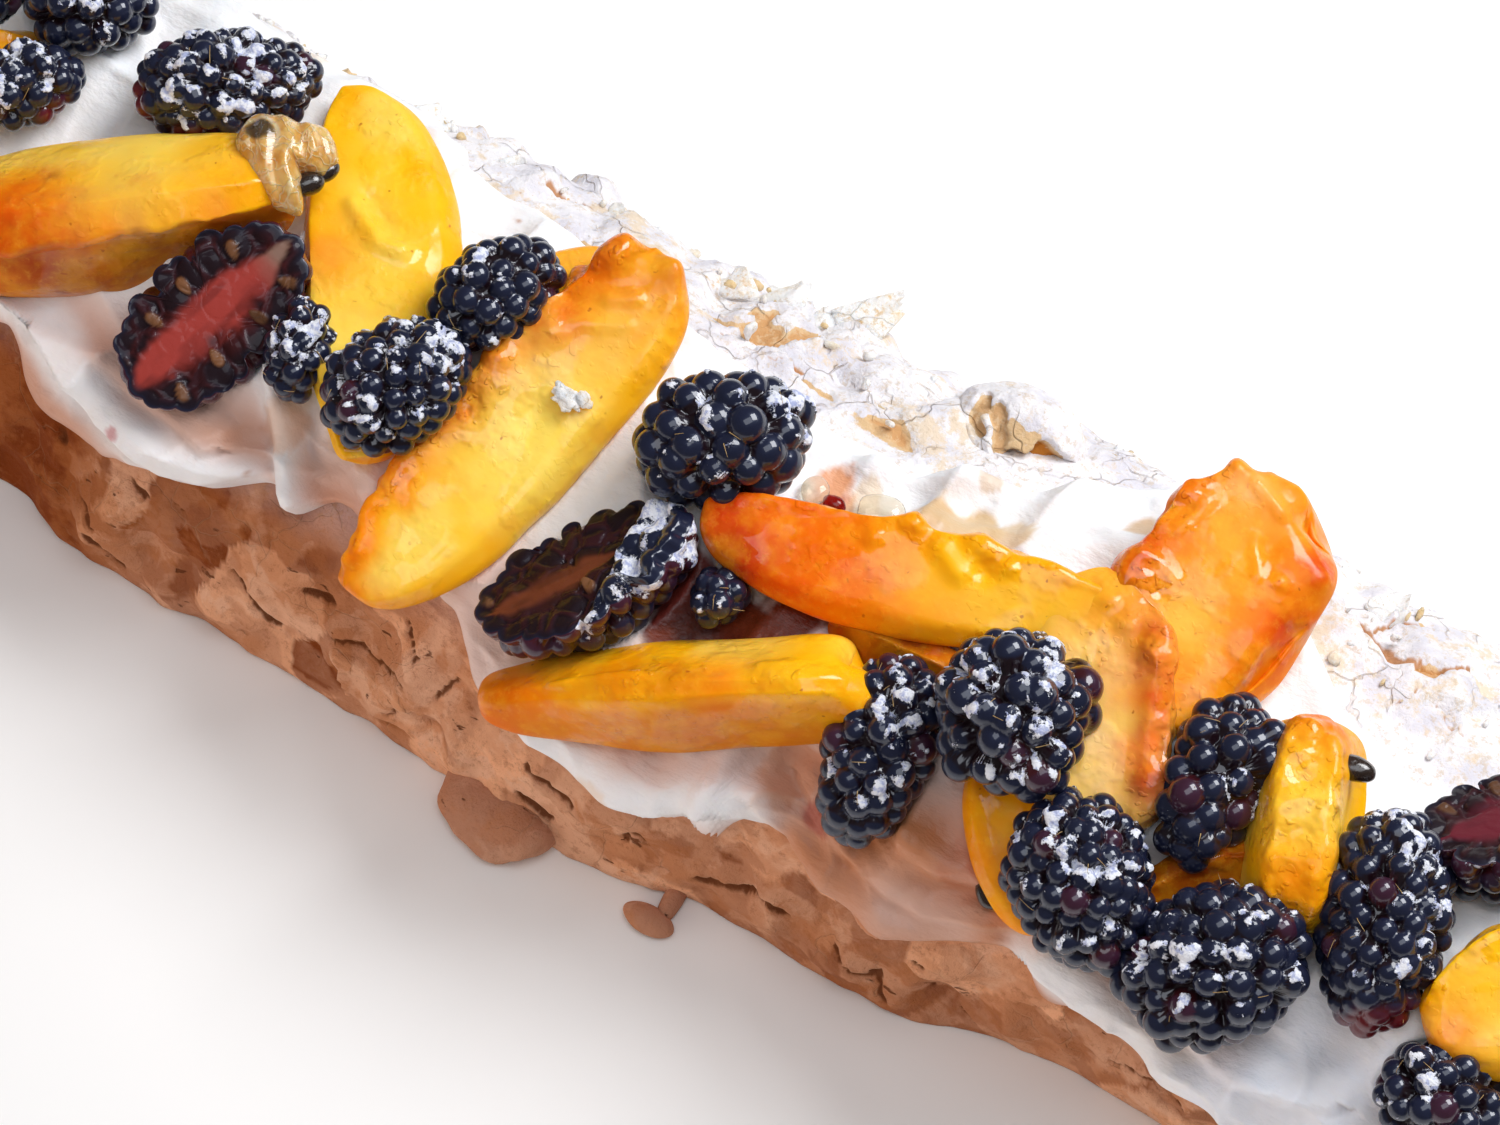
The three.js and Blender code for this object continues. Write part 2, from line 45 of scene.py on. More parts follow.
# ---- the log and its cream, as in the part ------------------------------------------------------
LOG_HALF = 165
LOG_HEIGHT = 38
SIDEWAYS, UPWARD = 2.6, 2.2
END_SHARPNESS, END_ROUND, END_DROOP = 8, 1 / 3, 0.6
NEAR_FOOT = [(-165, 38), (-108, 38.5), (-86, 42.5), (-57, 42), (-24, 44.5), (4, 46), (19, 42.5),
             (48, 43.2), (70, 38), (80, 37), (94, 38.5), (165, 38)]
FAR_FOOT = [(-165, 45), (-112, 46), (-95, 43.5), (-50, 45.3), (-30, 44.3), (5, 45.5), (38, 48.5),
            (55, 47.5), (78, 49.5), (165, 47)]
CREAM_FAR = [(-150, 62), (-136, 56), (-100, 30), (-85, 30), (-70, 48), (-62, 62), (-38, 64), (-18, 70),
             (20, 76), (27, 69), (46, 49), (54, 46), (79, 68), (92, 77), (104, 82), (116, 78), (150, 68)]
CREAM_NEAR = [(-150, 120), (-110, 130), (-98, 140), (-78, 140), (-52, 124), (-38, 127), (-29, 132),
              (-12, 146), (6, 150), (18, 148), (28, 140), (40, 148), (52, 150), (66, 146), (84, 152),
              (96, 156), (118, 152), (150, 128)]
CREAM_HALF, CREAM_END, CREAM_MIDDLE = 152, 18, 100
CREAM_GAP, CREAM_RIM, CREAM_LIP, CREAM_CROWN = 1.1, 0.7, 3.6, 4.4
LIP_REACH, CROWN_REACH, CREAM_FOLD = 5, 22, 0.9
CREAM_LOWERED, CREAM_SUNK = 0.6, 0.8
WALL_RADIUS = 40
RELIEF = 1.3
# The crust's plates and scales: size of their cells in mm. Its hollows: how deep they are.
PLATE, SCALE, HOLLOW_DEPTH = 15, 5.5, 1.4
# The near side of the cream begins at this angle.
NEAR_SIDE = 100

# ---- toppings: berries from stem end to tip, slices between their tips --------------------------
# Each berry has its width, the share of its upper side under icing sugar, the radius of its druplets,
# reddish places and extra lobes, and for a halved one the direction of its cut face in degrees from
# level, its core (half-length, half-width, shift, colour), its number of pips, and how far from its
# middle, in mm toward its end and side, whole druplets reach over it.
BERRIES = {
    "01": dict(start=(-128, 8, 54), end=(-113, 23, 52), width=17, sugar=0.13, druplet=2.2),
    "02": dict(start=(-130, -9, 52), end=(-114, 4, 54), width=13, sugar=0.16, druplet=1.9,
               ripe=[(-117, -2, 51, 4)]),
    "03": dict(start=(-106, 4, 55), end=(-85, 22, 52), width=17, sugar=0.19, druplet=1.9,
               ripe=[(-106, 2, 53, 5), (-95, 4, 52, 4)]),
    "04": dict(start=(-83, -33, 43), end=(-72, -3, 55), width=21, sugar=0.03, cut=72,
               core=(0.41, 0.15, -0.04, (0.33, 0.040, 0.028)), pips=8),
    "05": dict(start=(-66, -10, 53), end=(-61, -24, 47), width=10, sugar=0.2, druplet=1.7),
    "06": dict(start=(-47, -6, 55), end=(-39, 14, 53), width=16, sugar=0.03, druplet=2.1),
    "07": dict(start=(-52, -26, 51), end=(-43, -5, 55), width=18, sugar=0.22, druplet=1.95),
    "08": dict(start=(-12, -9, 55), end=(8, 9, 55), width=21, sugar=0.13, druplet=2.7),
    "09": dict(start=(-20, -38, 42), end=(1, -12, 53), width=21, sugar=0.25, cut=112,
               core=(0.24, 0.10, -0.14, (0.15, 0.036, 0.012)), pips=2, over=5.0),
    "10": dict(start=(5, -22, 48), end=(11, -15, 49), width=9, sugar=0.02),
    "11": dict(start=(45, -9, 60), end=(64, -24, 55), width=21, sugar=0.17, druplet=2.5,
               lobes=[(60.4, -8.4, 57.6, 3.0), (58.4, -6.4, 54.6, 2.8), (62.0, -10.8, 54.6, 2.8),
                      (49.2, -24.0, 56, 2.6), (47.4, -20.6, 56, 2.6), (51.4, -26.2, 55.5, 2.6)]),
    "12": dict(start=(36.8, -13.5, 52), end=(41, -39, 39), width=16.4, sugar=0.1, druplet=2.2),
    "13": dict(start=(64, -22, 53), end=(82, -37, 41), width=21, sugar=0.1, druplet=2.0),
    "14": dict(start=(80, 4, 54), end=(84, -22, 50), width=16, sugar=0.02, druplet=2.4,
               lobes=[(87.6, -4.5, 56.5, 2.5), (86.2, -1.0, 57, 2.3)]),
    "15": dict(start=(86, -39, 38), end=(103, -21, 53), width=23, sugar=0.065, druplet=2.3),
    "16": dict(start=(106, 0, 55), end=(117, -29, 46), width=19, sugar=0.1, druplet=2.1,
               ripe=[(118, -27, 46, 6)]),
    "17": dict(start=(112, -4, 54), end=(129, 16, 52), width=21, sugar=0.06, cut=120,
               core=(0.3, 0.2, 0.0, (0.13, 0.012, 0.020)), pips=5),
    "18": dict(start=(120, -31, 43), end=(140, -29, 40), width=17, sugar=0.05, druplet=2.1),
    "19": dict(start=(-148, 4, 46), end=(-134, 18, 49), width=17, sugar=0.12, druplet=2.1),
    "20": dict(start=(-148, -19, 41), end=(-136, -31, 37), width=17, sugar=0.1, druplet=2.1),
    "21": dict(start=(136, 12, 50), end=(148, -4, 47), width=18, sugar=0.12, druplet=2.2),
}
BLUNTNESS = 0.1
CUT_LIFT = 1.5
# The reach of a cell's dome on a cut face, the radius of a halved berry's druplets, the size of the
# core that closes the dips between druplets, and the radius of a hair.
CELL_REACH, CUT_DRUPLET, BERRY_CORE, HAIR = 2.6, 2.2, 0.74, 0.075
HAIRS_EACH = 6

# Each slice has the reach of its skin and stone sides, its thickness at the stone edge and under the skin,
# and its looks: how torn its stone edge is, how red that edge is, how orange its whole flesh is, how orange
# its first and last tips are and how blunt (2 is an ellipse), how pale it is (on slice 07 partly painted
# light), the tint of its minus face (amber flesh deepened by painted shade, for the face turned from the
# light), how far its stone edge overhangs that face as a lip, spots of colour (place, reach, strength, tint;
# some are painted shade and some painted light, as noted at their slices) and small forms (height, reach and
# line of places).
SLICES = {
    "01": dict(start=(-130, -31, 45), end=(-77, 3, 57), roll=-122, skin=11, stone=10, rim=5, back=27,
               torn=0.12, red=0.0, orange=0.12, tips=(0.2, 0.1), minus=("AMBER", 1.0), blunt=(2, 3),
               lip=2.6,
               spots=[(-108, -25, 55, 8, 1.0, "RED"), (-101, -23, 57, 6, 0.9, "ORANGE"),
                      (-108, -20, 58, 7, 0.7, "ORANGE"), (-94, -17, 57, 5, 0.8, "ORANGE"),
                      (-84, -8, 56, 6, 0.8, "ORANGE"), (-95, -9, 57, 9, 0.7, "PALE"),
                      # The wide rust and brown spots low on the minus face, on this and the next line, are
                      # painted shade; the small brown ones are specks.
                      (-105, -22, 50, 7, 0.8, "RUST"), (-90, -14, 50, 7, 0.6, "RUST"),
                      (-99, -20, 44, 7, 0.5, "BROWN"), (-107, -14, 58, 1.0, 0.9, "BROWN"),
                      (-106.5, -25.5, 46, 0.9, 1.0, "BROWN"), (-104, -24.5, 45, 0.8, 1.0, "BROWN"),
                      (-101, -23.4, 43, 0.9, 1.0, "BROWN")],
               forms=[(3.6, 8, [(-110, -27, 44), (-96, -19, 44)])]),
    "02": dict(start=(-82, 24, 49), end=(-49, -27, 47), roll=-163, skin=17, stone=6, rim=4, back=11,
               torn=0.15, red=0.0, orange=0.0, tips=(0.0, 0.1), blunt=(2.4, 2),
               spots=[(-71, 0, 50, 5, 0.6, "GOLD"), (-68, -4, 49, 5, 0.6, "ORANGE"),
                      (-58, -12, 50, 9, 0.8, "PALE"), (-79, 21, 51, 4, 0.3, "GOLD"),
                      (-60, 3, 50, 3, 0.7, "PALE"), (-68, 8, 50, 4, 0.5, "PALE")],
               forms=[(1.4, 1.4, [(-69.5, 6.6, 51), (-66, 4.8, 50.8), (-63, 3.6, 50.3), (-59.6, 4.2, 49.8)]),
                      (-0.7, 1.6, [(-68, 9.4, 50.8), (-64, 7.4, 50.5)])]),
    "03": dict(start=(-41, -41, 38), end=(-27, 22, 54), roll=-18, skin=14, stone=7, rim=5, back=12,
               torn=1.0, red=0.45, orange=0.0, tips=(0.1, 0.35), blunt=(2.6, 4.5),
               spots=[(-33, 6, 53.5, 5, 0.7, "ORANGE"), (-36, -3, 51.5, 5, 0.8, "ORANGE"),
                      (-39, -13, 49, 4.5, 0.8, "ORANGE"), (-32, 4, 53, 3, 0.7, "RED"),
                      (-37, -5, 51, 3, 0.9, "RED"), (-40, -15, 49, 2.5, 0.7, "RED"),
                      (-34, 1, 53, 6, 0.6, "ORANGE"), (-25, 15, 54.6, 8, 0.8, "JELLY"),
                      (-31, 13, 54.7, 5, 0.7, "ORANGE"), (-22, 20, 55, 6, 0.8, "AMBER"),
                      (-29, 19, 55, 5, 0.6, "AMBER"), (-40, -41, 38, 4, 0.8, "ORANGE"),
                      (-27, -14, 49, 11, 0.9, "PALE"), (-31, -2, 52, 6, 0.6, "PALE"),
                      (-23, 2, 52, 6, 0.3, "GOLD")],
               forms=[(1.3, 2.6, [(-30, 17, 55)]), (-1.5, 2.2, [(-34.5, 9, 54)]),
                      (1.1, 2.5, [(-33, 3, 53.5)]), (-1.0, 2.0, [(-27, 21, 55)]),
                      (1.2, 2.4, [(-23, 20, 55)]), (0.7, 1.3, [(-30, 6, 54), (-24, 9, 54)]),
                      (0.8, 1.2, [(-28, 11, 54.6), (-25, 13, 54.6)]),
                      (-0.8, 2.5, [(-29, -8, 51), (-27, -20, 47)])]),
    "04": dict(start=(-42, 1, 50), end=(-31, 20, 47), roll=-160, skin=8, stone=4, rim=4, back=8, torn=0.8,
               red=0.1, orange=0.4, tips=(0.4, 0.4)),
    "05": dict(start=(-16, -45, 36), end=(34.2, -20.8, 51.2), roll=-112, skin=9, stone=9, rim=5, back=22,
               torn=0.10, red=0.0, orange=0.22, tips=(0.6, 0.0), minus=("AMBER", 1.0), blunt=(1.25, 9),
               soft=True,
               spots=[(12, -32, 54.5, 1.8, 0.9, "BROWN"), (9, -33.5, 54, 1.6, 0.9, "BROWN"),
                      (13, -31, 55, 3.0, 0.5, "RED"), (-12.7, -44, 40.8, 4, 0.8, "RUST"),
                      (24, -18, 55, 8, 0.9, "YELLOW"), (14, -25, 55, 5, 0.5, "PALE"),
                      (9, -34, 51, 3.5, 0.7, "RUST"), (-1, -37, 50, 3, 0.5, "RUST"),
                      (16, -32, 51, 5, 0.6, "ORANGE"), (34, -26, 48, 7, 0.5, "GOLD"),
                      (-4, -47, 38, 6, 0.7, "AMBER"), (9, -42, 39, 7, 0.8, "AMBER"),
                      (22, -36, 41, 7, 0.7, "AMBER"), (2, -35, 51, 5, 0.5, "ORANGE"),
                      # The two wide gold spots, on this and the next line, are painted shade: the shaded
                      # yellow at the slice's left end under berry 09.
                      (-2, -38, 49, 4, 0.4, "RUST"), (-8, -38, 46, 8, 0.8, "GOLD"),
                      (1, -33, 52, 8, 0.6, "GOLD"), (-11, -42, 42, 5, 0.6, "ORANGE")],
               forms=[(-4.2, 2.6, [(30, -17, 54.5), (31, -16, 50)]),
                      (2.0, 2.4, [(22, -14.5, 55.5), (26, -14.5, 55)]), (2.2, 3.0, [(35, -24, 52)]),
                      (1.6, 2.6, [(36, -29, 46)]), (-0.8, 1.0, [(8, -33, 54), (14, -31, 54.6)]),
                      (0.6, 0.9, [(-6, -41, 45), (6, -36, 51)]),
                      (0.7, 1.2, [(20, -27, 55), (26, -25, 55)])]),
    "06": dict(start=(0, -9, 53), end=(57, 6, 55), roll=-25, skin=12, stone=4, rim=5, back=10, torn=0.5,
               red=0.0, orange=0.5, tips=(0.8, 0.0), blunt=(2.8, 2.4),
               spots=[(4, -8, 55, 7, 1.0, "RED"), (10, -13, 54, 7, 1.0, "RED"),
                      (17, -14.5, 52.5, 7, 0.9, "RED"), (12, -5, 56, 7, 0.8, "ORANGE"),
                      (20, -12, 54, 7, 0.7, "ORANGE"), (22, -9, 55.4, 8, 0.5, "ORANGE"),
                      (30, -9, 54, 7, 0.5, "ORANGE"), (44, -3, 56, 9, 0.6, "YELLOW"),
                      (48, 0, 57, 5, 0.6, "YELLOW"), (36, -1, 57, 5, 0.7, "YELLOW"),
                      (7, -14, 51, 5, 0.8, "RUST"), (26, -1, 57, 4, 0.6, "GOLD"),
                      (13, -3, 56, 6, 0.5, "ORANGE")],
               forms=[(1.8, 2.2, [(27.5, 2.0, 57.6)]), (-1.0, 4.0, [(20, 1, 56)]),
                      (1.0, 2.0, [(38, 3.5, 57.5)]), (1.0, 1.4, [(33, 0, 57), (37, -2, 57)]),
                      (0.9, 1.3, [(43, 2, 57.5)]), (0.9, 1.5, [(24, -3, 57)]), (-0.9, 1.6, [(40, 0, 57)])]),
    # Its paleness and blush spots are partly painted light, lifting the shadow that slice 08 casts on it.
    "07": dict(start=(54, 10, 56), end=(75, -24, 47), roll=-12, skin=13, stone=9, rim=5, back=9, torn=0.9,
               red=0.3, orange=0.0, tips=(0.4, 0.0), blunt=(3, 2), pale=0.7,
               spots=[(62, -3, 56, 9, 0.9, "BLUSH"), (66, -14, 53, 10, 0.95, "BLUSH"),
                      (70, -22, 49, 8, 0.8, "BLUSH"), (65, 3, 57, 3.4, 0.9, "RED"),
                      (70, -4, 55.6, 3.4, 1.0, "RED"), (73.5, -14, 52.5, 3.4, 0.9, "RED"),
                      (72, -9, 54, 3.0, 0.8, "ORANGE"), (68, 1, 56.5, 3.4, 0.7, "ORANGE"),
                      (67, -5, 56, 4, 0.5, "ORANGE"), (54.7, 4, 57, 7, 0.8, "GOLD"),
                      (58, 3, 57, 3, 0.5, "GOLD"), (70, -12, 54, 3, 0.6, "ORANGE")],
               forms=[(0.9, 1.8, [(66, 2, 57), (70, -6, 55.6), (74, -15, 52.5)]), (0.8, 1.4, [(57, 5, 58)]),
                      (0.9, 1.3, [(61, 3, 58)])]),
    "08": dict(start=(70, -5, 50), end=(68, 35, 55), roll=-12, skin=14, stone=13, rim=6, back=12,
               torn=0.9, red=0.5, orange=0.75, tips=(0.1, 0.4), blunt=(2.2, 3.6),
               spots=[(79, 24, 56.1, 5, 1.0, "RED"), (79.5, 15.5, 55.1, 5, 1.0, "RED"),
                      (78, 9, 54, 5, 0.9, "RED"), (71, 28, 58, 4, 0.5, "GOLD"),
                      (74, 16, 57.4, 5, 0.7, "ORANGE"), (66, 17, 58, 6, 0.6, "GOLD"),
                      (75, 22, 57, 5, 0.6, "ORANGE"), (58, 15, 58, 5, 1.0, "RED"),
                      (61, 21, 58, 5, 0.8, "ORANGE"), (66, 30, 58, 4, 0.7, "BLUSH"),
                      (69, 14, 57, 6, 0.6, "GOLD"), (71, 5, 54, 8, 0.6, "GOLD"),
                      (65, 25, 58, 5, 0.7, "JELLY"), (67, 9, 56, 4, 0.4, "PALE"),
                      (72, 26, 57, 4, 0.6, "JELLY"), (69, 20, 57.5, 4, 0.6, "JELLY"),
                      (63, 13, 57, 4, 0.6, "JELLY")],
               forms=[(2.2, 2.0, [(62.4, 31.5, 57)]), (-3.8, 5, [(85, 14, 54), (83, 4, 52)]),
                      (-4.4, 4.5, [(79, 33, 56)]), (-3.2, 2.6, [(58.6, 31, 56)]),
                      (1.4, 2.2, [(81, 24, 56)]), (0.9, 1.2, [(66, 31, 58), (71, 29, 58)]),
                      (0.8, 1.2, [(76, 20, 57)]), (-0.9, 2.0, [(72, 24, 57)]), (2.2, 4.0, [(55.5, 10, 55)]),
                      (-1.8, 1.8, [(57.4, 22, 57)]), (-1.6, 2.0, [(75, 31, 57)]),
                      (0.7, 0.9, [(62, 26, 58), (60, 19, 58)]), (0.6, 0.8, [(70, 24, 58), (73, 19, 57)])]),
    "09": dict(start=(53, -19, 46), end=(71, -35, 38), roll=-25, skin=7, stone=7, rim=4, back=9, torn=0.3,
               # The amber spot darkens this slice as painted shade under berry 13.
               red=0.0, orange=0.4, tips=(0.5, 0.3), spots=[(60, -30, 40, 6, 0.8, "AMBER")]),
    "10": dict(start=(90, 5, 56), end=(101, -22, 50), roll=-95, skin=11, stone=7, rim=8, back=22,
               torn=0.55, red=0.0, orange=0.15, tips=(0.2, 0.1), blunt=(3.5, 3),
               spots=[(89, -1, 59, 4, 0.5, "JELLY"), (96, 1, 58.6, 5, 0.8, "JELLY"),
                      (92, 4, 58, 5, 0.8, "ORANGE"), (99, -17, 56, 5, 0.4, "ORANGE"),
                      (94, -9, 58, 7, 0.8, "YELLOW"), (97, -10, 58, 5, 0.6, "PALE")],
               forms=[(-2.6, 5, [(103, 2, 52), (106, -12, 50)]), (0.9, 1.5, [(90, 2, 60)]),
                      (0.9, 1.4, [(94, 1, 60), (97, -3, 60)]), (0.8, 1.3, [(99, -1, 58)])]),
    "11": dict(start=(122, -23, 48), end=(149, 3, 50), roll=-25, skin=13, stone=10, rim=5, back=11,
               torn=0.4, red=0.0, orange=0.1, tips=(0.2, 0.3),
               spots=[(125.6, -14, 53, 7, 0.7, "YELLOW"), (126.5, -24, 48.9, 4, 0.6, "ORANGE")]),
    "12": dict(start=(-152, -10, 44), end=(-125, 6, 49), roll=-100, skin=8, stone=6, rim=4, back=13,
               torn=0.4, red=0.1, orange=0.2, tips=(0.3, 0.3)),
    "13": dict(start=(80, -28, 44), end=(92, -13, 48), roll=-60, skin=6, stone=4, rim=4, back=8, torn=0.5,
               # The brown spot is painted shade on this slice between berries 14 and 15.
               red=0.9, orange=1.0, tips=(1.0, 1.0), spots=[(85, -20, 47, 9, 0.9, "BROWN")]),
    "14": dict(start=(23, -13, 47), end=(50, -11, 47), roll=-80, skin=5, stone=4, rim=4, back=9, torn=0.5,
               # The brown spot is painted shade on this slice beneath slice 06.
               red=0.5, orange=0.9, tips=(1.0, 0.5), spots=[(32, -13, 48, 9, 0.8, "BROWN")]),
}
STONE_TAPER, SKIN_TAPER, THICKNESS_TAPER = 1.3, 0.85, 0.6
SLICE_SECTION = [(0, -1), (0.8, -1), (1, -0.45), (1, 0.45), (0.8, 1), (0, 1)]

# Flakes of crust: place along the log, angle round its section, width, height, heading and lean.
FLAKES = [
    (-76, 42, 13, 4.0, -10, 98), (-60, 42, 10, 3.0, 5, 98), (-46, 38, 10, 3.0, 15, 104),
    (-23, 38, 9, 3.0, 20, 98), (-15, 37, 9, 5.5, -12, 92), (-8, 37, 8, 3.0, 15, 100),
    (-4.5, 36, 10, 12.0, -28, 86), (60, 36, 11, 3.0, 10, 102), (87, 42, 7, 4.5, -10, 94),
    (109, 42, 12, 3.0, 15, 104), (132, 40, 12, 3.0, -10, 102),
]
FLAKE_SUNK = 3

# The blister on the far shoulder, and the dribble and small crumb at the near foot, as ellipsoids.
BLISTER = dict(centre=(27, 34, 27), radii=(11, 9, 9))
# Its two broken creases, its hole and its cut-off facet: lines of places, and the facet's place.
BLISTER_CREASES = [[(20.9, 35.3, 34.4), (21.1, 33.4, 34.6), (20.7, 31.2, 33.8), (22.9, 29.7, 34.2)],
                   [(23.4, 34.0, 35.5), (25.0, 31.2, 35.4), (26.7, 28.9, 34.4), (28.0, 27.8, 33.5)]]
BLISTER_HOLE = [
    (29.9, 28.2, 33.5), (31.5, 28.3, 32.9), (32.7, 29.6, 33.3), (33.4, 31.3, 33.8), (35.1, 31.5, 32.6),
    (36.8, 31.7, 30.4),
]
BLISTER_FACET = (29.5, 31.6, 35.4)
DRIBBLE = dict(centre=(-13, -46, 2.5), radii=(9.5, 8, 4.5))
CRUMB_STALK = dict(centre=(16, -45, 1), radii=(1.6, 5, 2))
CRUMB_HEAD = dict(centre=(14.5, -49.5, 1), radii=(4, 2, 1.8))
# Crumbs on the far shoulder: how many, how far along it to each side, the lowest angle, and how many
# degrees they stay clear of the cream.
CRUMBS, CRUMB_SPREAD, CRUMB_LOWEST, CRUMB_CLEAR = 220, 150, 8, 4

# Cracks in the crust: width, depth, and their line as places along the log and angles round it.
CRACKS = [
    (2.0, 1.6, [(80, 47), (86.6, 53), (92.2, 59)]), (1.4, 1.0, [(86.6, 53), (89, 46), (94, 44)]),
    (1.6, 1.2, [(92.2, 59), (97.3, 58), (104.2, 54)]), (1.0, 0.8, [(93.5, 73), (96.3, 69), (98.4, 63)]),
    (0.9, 0.7, [(101.1, 65), (106.2, 69)]), (0.8, 0.6, [(81.8, 69), (84.7, 70), (86, 72)]),
    (1.0, 0.8, [(-56.6, 67), (-51.4, 62), (-48, 60)]), (1.6, 1.2, [(-55, 46), (-50, 42), (-46, 41)]),
    (1.5, 1.2, [(-48.1, 57), (-44.1, 58), (-41, 61)]), (0.8, 0.8, [(-62, 65), (-57.5, 55), (-54.6, 54)]),
    (1.0, 0.8, [(-20, 62), (-12, 64), (-4, 62)]), (0.8, 0.7, [(36, 40), (48, 34), (56, 30)]),
    (2.6, 2.0, [(-96, 145), (-95, 148)]), (1.6, 1.5, [(-87.1, 143), (-82.9, 146), (-79.4, 148)]),
    (1.2, 1.2, [(-90.1, 159), (-86.3, 162)]), (3.0, 2.2, [(-87.6, 166), (-85.2, 170), (-83.5, 175)]),
    (1.2, 1.0, [(-76.1, 145), (-72.7, 146)]), (1.7, 1.6, [(-63, 158), (-58.7, 163), (-55.1, 167)]),
    (2.4, 1.6, [(-51, 151), (-47.5, 150)]), (1.3, 1.3, [(-46.3, 159), (-38.8, 156), (-31.5, 154)]),
    (1.1, 1.1, [(-33.9, 141), (-30.9, 147)]), (1.2, 1.2, [(-26.2, 153), (-23.8, 147), (-20.7, 147)]),
    (1.1, 1.0, [(-33.2, 170), (-31.7, 165)]), (1.0, 0.9, [(-49.5, 129), (-46.6, 128)]),
    (3.4, 2.6, [(-10, 168), (-6, 171)]), (1.8, 1.6, [(-9.5, 158), (-5, 160), (-1.9, 161)]),
    (1.3, 1.0, [(7.2, 166), (9, 160), (11.4, 162)]), (1.2, 1.0, [(13, 171), (15, 170)]),
    (2.2, 2.0, [(19, 170), (25.5, 167), (30, 163), (33, 165)]), (1.6, 1.0, [(21.6, 150), (25.6, 153)]),
    (1.3, 1.3, [(42, 165), (45.1, 169), (49.6, 168), (50.7, 176)]), (1.4, 1.2, [(53.8, 156), (55, 158)]),
    (1.3, 1.2, [(55.2, 165), (57, 170)]), (1.4, 1.0, [(61, 174), (64, 177)]),
    (1.4, 1.2, [(104, 160), (112, 166), (121, 164)]), (1.2, 1.2, [(-128, 150), (-119, 156), (-112, 152)]),
    (1.4, 1.3, [(-142, 165), (-133, 160)]), (1.2, 1.2, [(84, 168), (92, 163), (97, 167)]),
    (1.0, 0.9, [(128, 55), (136, 62), (146, 60)]), (1.2, 1.0, [(-140, 38), (-128, 30), (-120, 33)]),
    (1.2, 1.0, [(-30, 25), (-18, 18), (-4, 22)]), (1.0, 0.9, [(62, 22), (74, 15), (90, 20)]),
]
# Broken places that show the amber inside of the crust: place, angle, half-length and half-height.
HOLLOWS = [
    (-12.3, 55, 4.2, 3.6), (-8.4, 49, 2.0, 4.2), (-19.5, 56, 2.4, 1.2), (-15.0, 47, 2.4, 2.4),
    (11.0, 69, 5.6, 4.4), (97.0, 59, 2.2, 1.8), (93.2, 43, 2.0, 0.9),
    (-51.0, 43, 1.6, 1.0), (-43.6, 59, 1.2, 1.8), (-0.5, 64, 4.0, 1.0), (-118, 40, 4, 3), (120, 30, 4, 2.5),
]


# ---- small maths --------------------------------------------------------------------------------
def smooth(t):
    """The smooth step: 3 t^2 - 2 t^3, with t held between 0 and 1."""
    t = np.clip(t, 0, 1)
    return t * t * (3 - 2 * t)


def rise(value, low, high):
    """The smooth step from 0 at low to 1 at high."""
    return smooth((value - low) / (high - low))


def blend(first, second, share):
    """The first value where share is 0, the second where it is 1, and a straight mix between."""
    return first + (second - first) * share


def unit(vectors):
    """The vectors, each divided by its length."""
    return vectors / np.maximum(np.linalg.norm(vectors, axis=-1, keepdims=True), 1e-12)


def line_through(points):
    """The smooth line through (place, value) points, level at each: a smooth step between neighbours."""
    places, values = np.array(points, float).T

    def line(x):
        i = np.clip(np.searchsorted(places, x), 1, len(places) - 1)
        return blend(values[i - 1], values[i], rise(x, places[i - 1], places[i]))
    return line


near_foot, far_foot = line_through(NEAR_FOOT), line_through(FAR_FOOT)
cream_far, cream_near = line_through(CREAM_FAR), line_through(CREAM_NEAR)


# ---- noise --------------------------------------------------------------------------------------
def hashed(cell, seed):
    """A random number from 0 to 1 for each lattice cell: its whole numbers multiplied and bit-mixed."""
    c = cell.astype(np.uint64)
    factors = np.array([374761393, 668265263, 2246822519], np.uint64)
    h = c[..., 0] * factors[0] + c[..., 1] * factors[1] + c[..., 2] * factors[2]
    h = (h + np.uint64(seed * 974711 + 17)) & np.uint64(0xFFFFFFFF)
    h = ((h ^ (h >> np.uint64(13))) * np.uint64(1274126177)) & np.uint64(0xFFFFFFFF)
    h = ((h ^ (h >> np.uint64(15))) * np.uint64(2654435761)) & np.uint64(0xFFFFFFFF)
    return ((h ^ (h >> np.uint64(16))) & np.uint64(0xFFFFFF)) / float(0xFFFFFF)


def noise(points, size, seed=0):
    """Value noise from -1 to 1: random numbers at lattice points `size` mm apart, smoothly blended."""
    q = points / size + 1000.5
    cell = np.floor(q)
    f = smooth(q - cell)
    cell = cell.astype(np.int64)
    total = 0
    for corner in np.ndindex(2, 2, 2):
        weight = np.prod(np.where(np.array(corner) == 1, f, 1 - f), axis=-1)
        total = total + weight * hashed(cell + np.array(corner), seed)
    return 2 * total - 1


def layered(points, size, octaves=3, seed=0):
    """Sum of noise at halving sizes and halving strengths."""
    return sum(0.5 ** k * noise(points, size / 2 ** k, seed + 7 * k) for k in range(octaves))


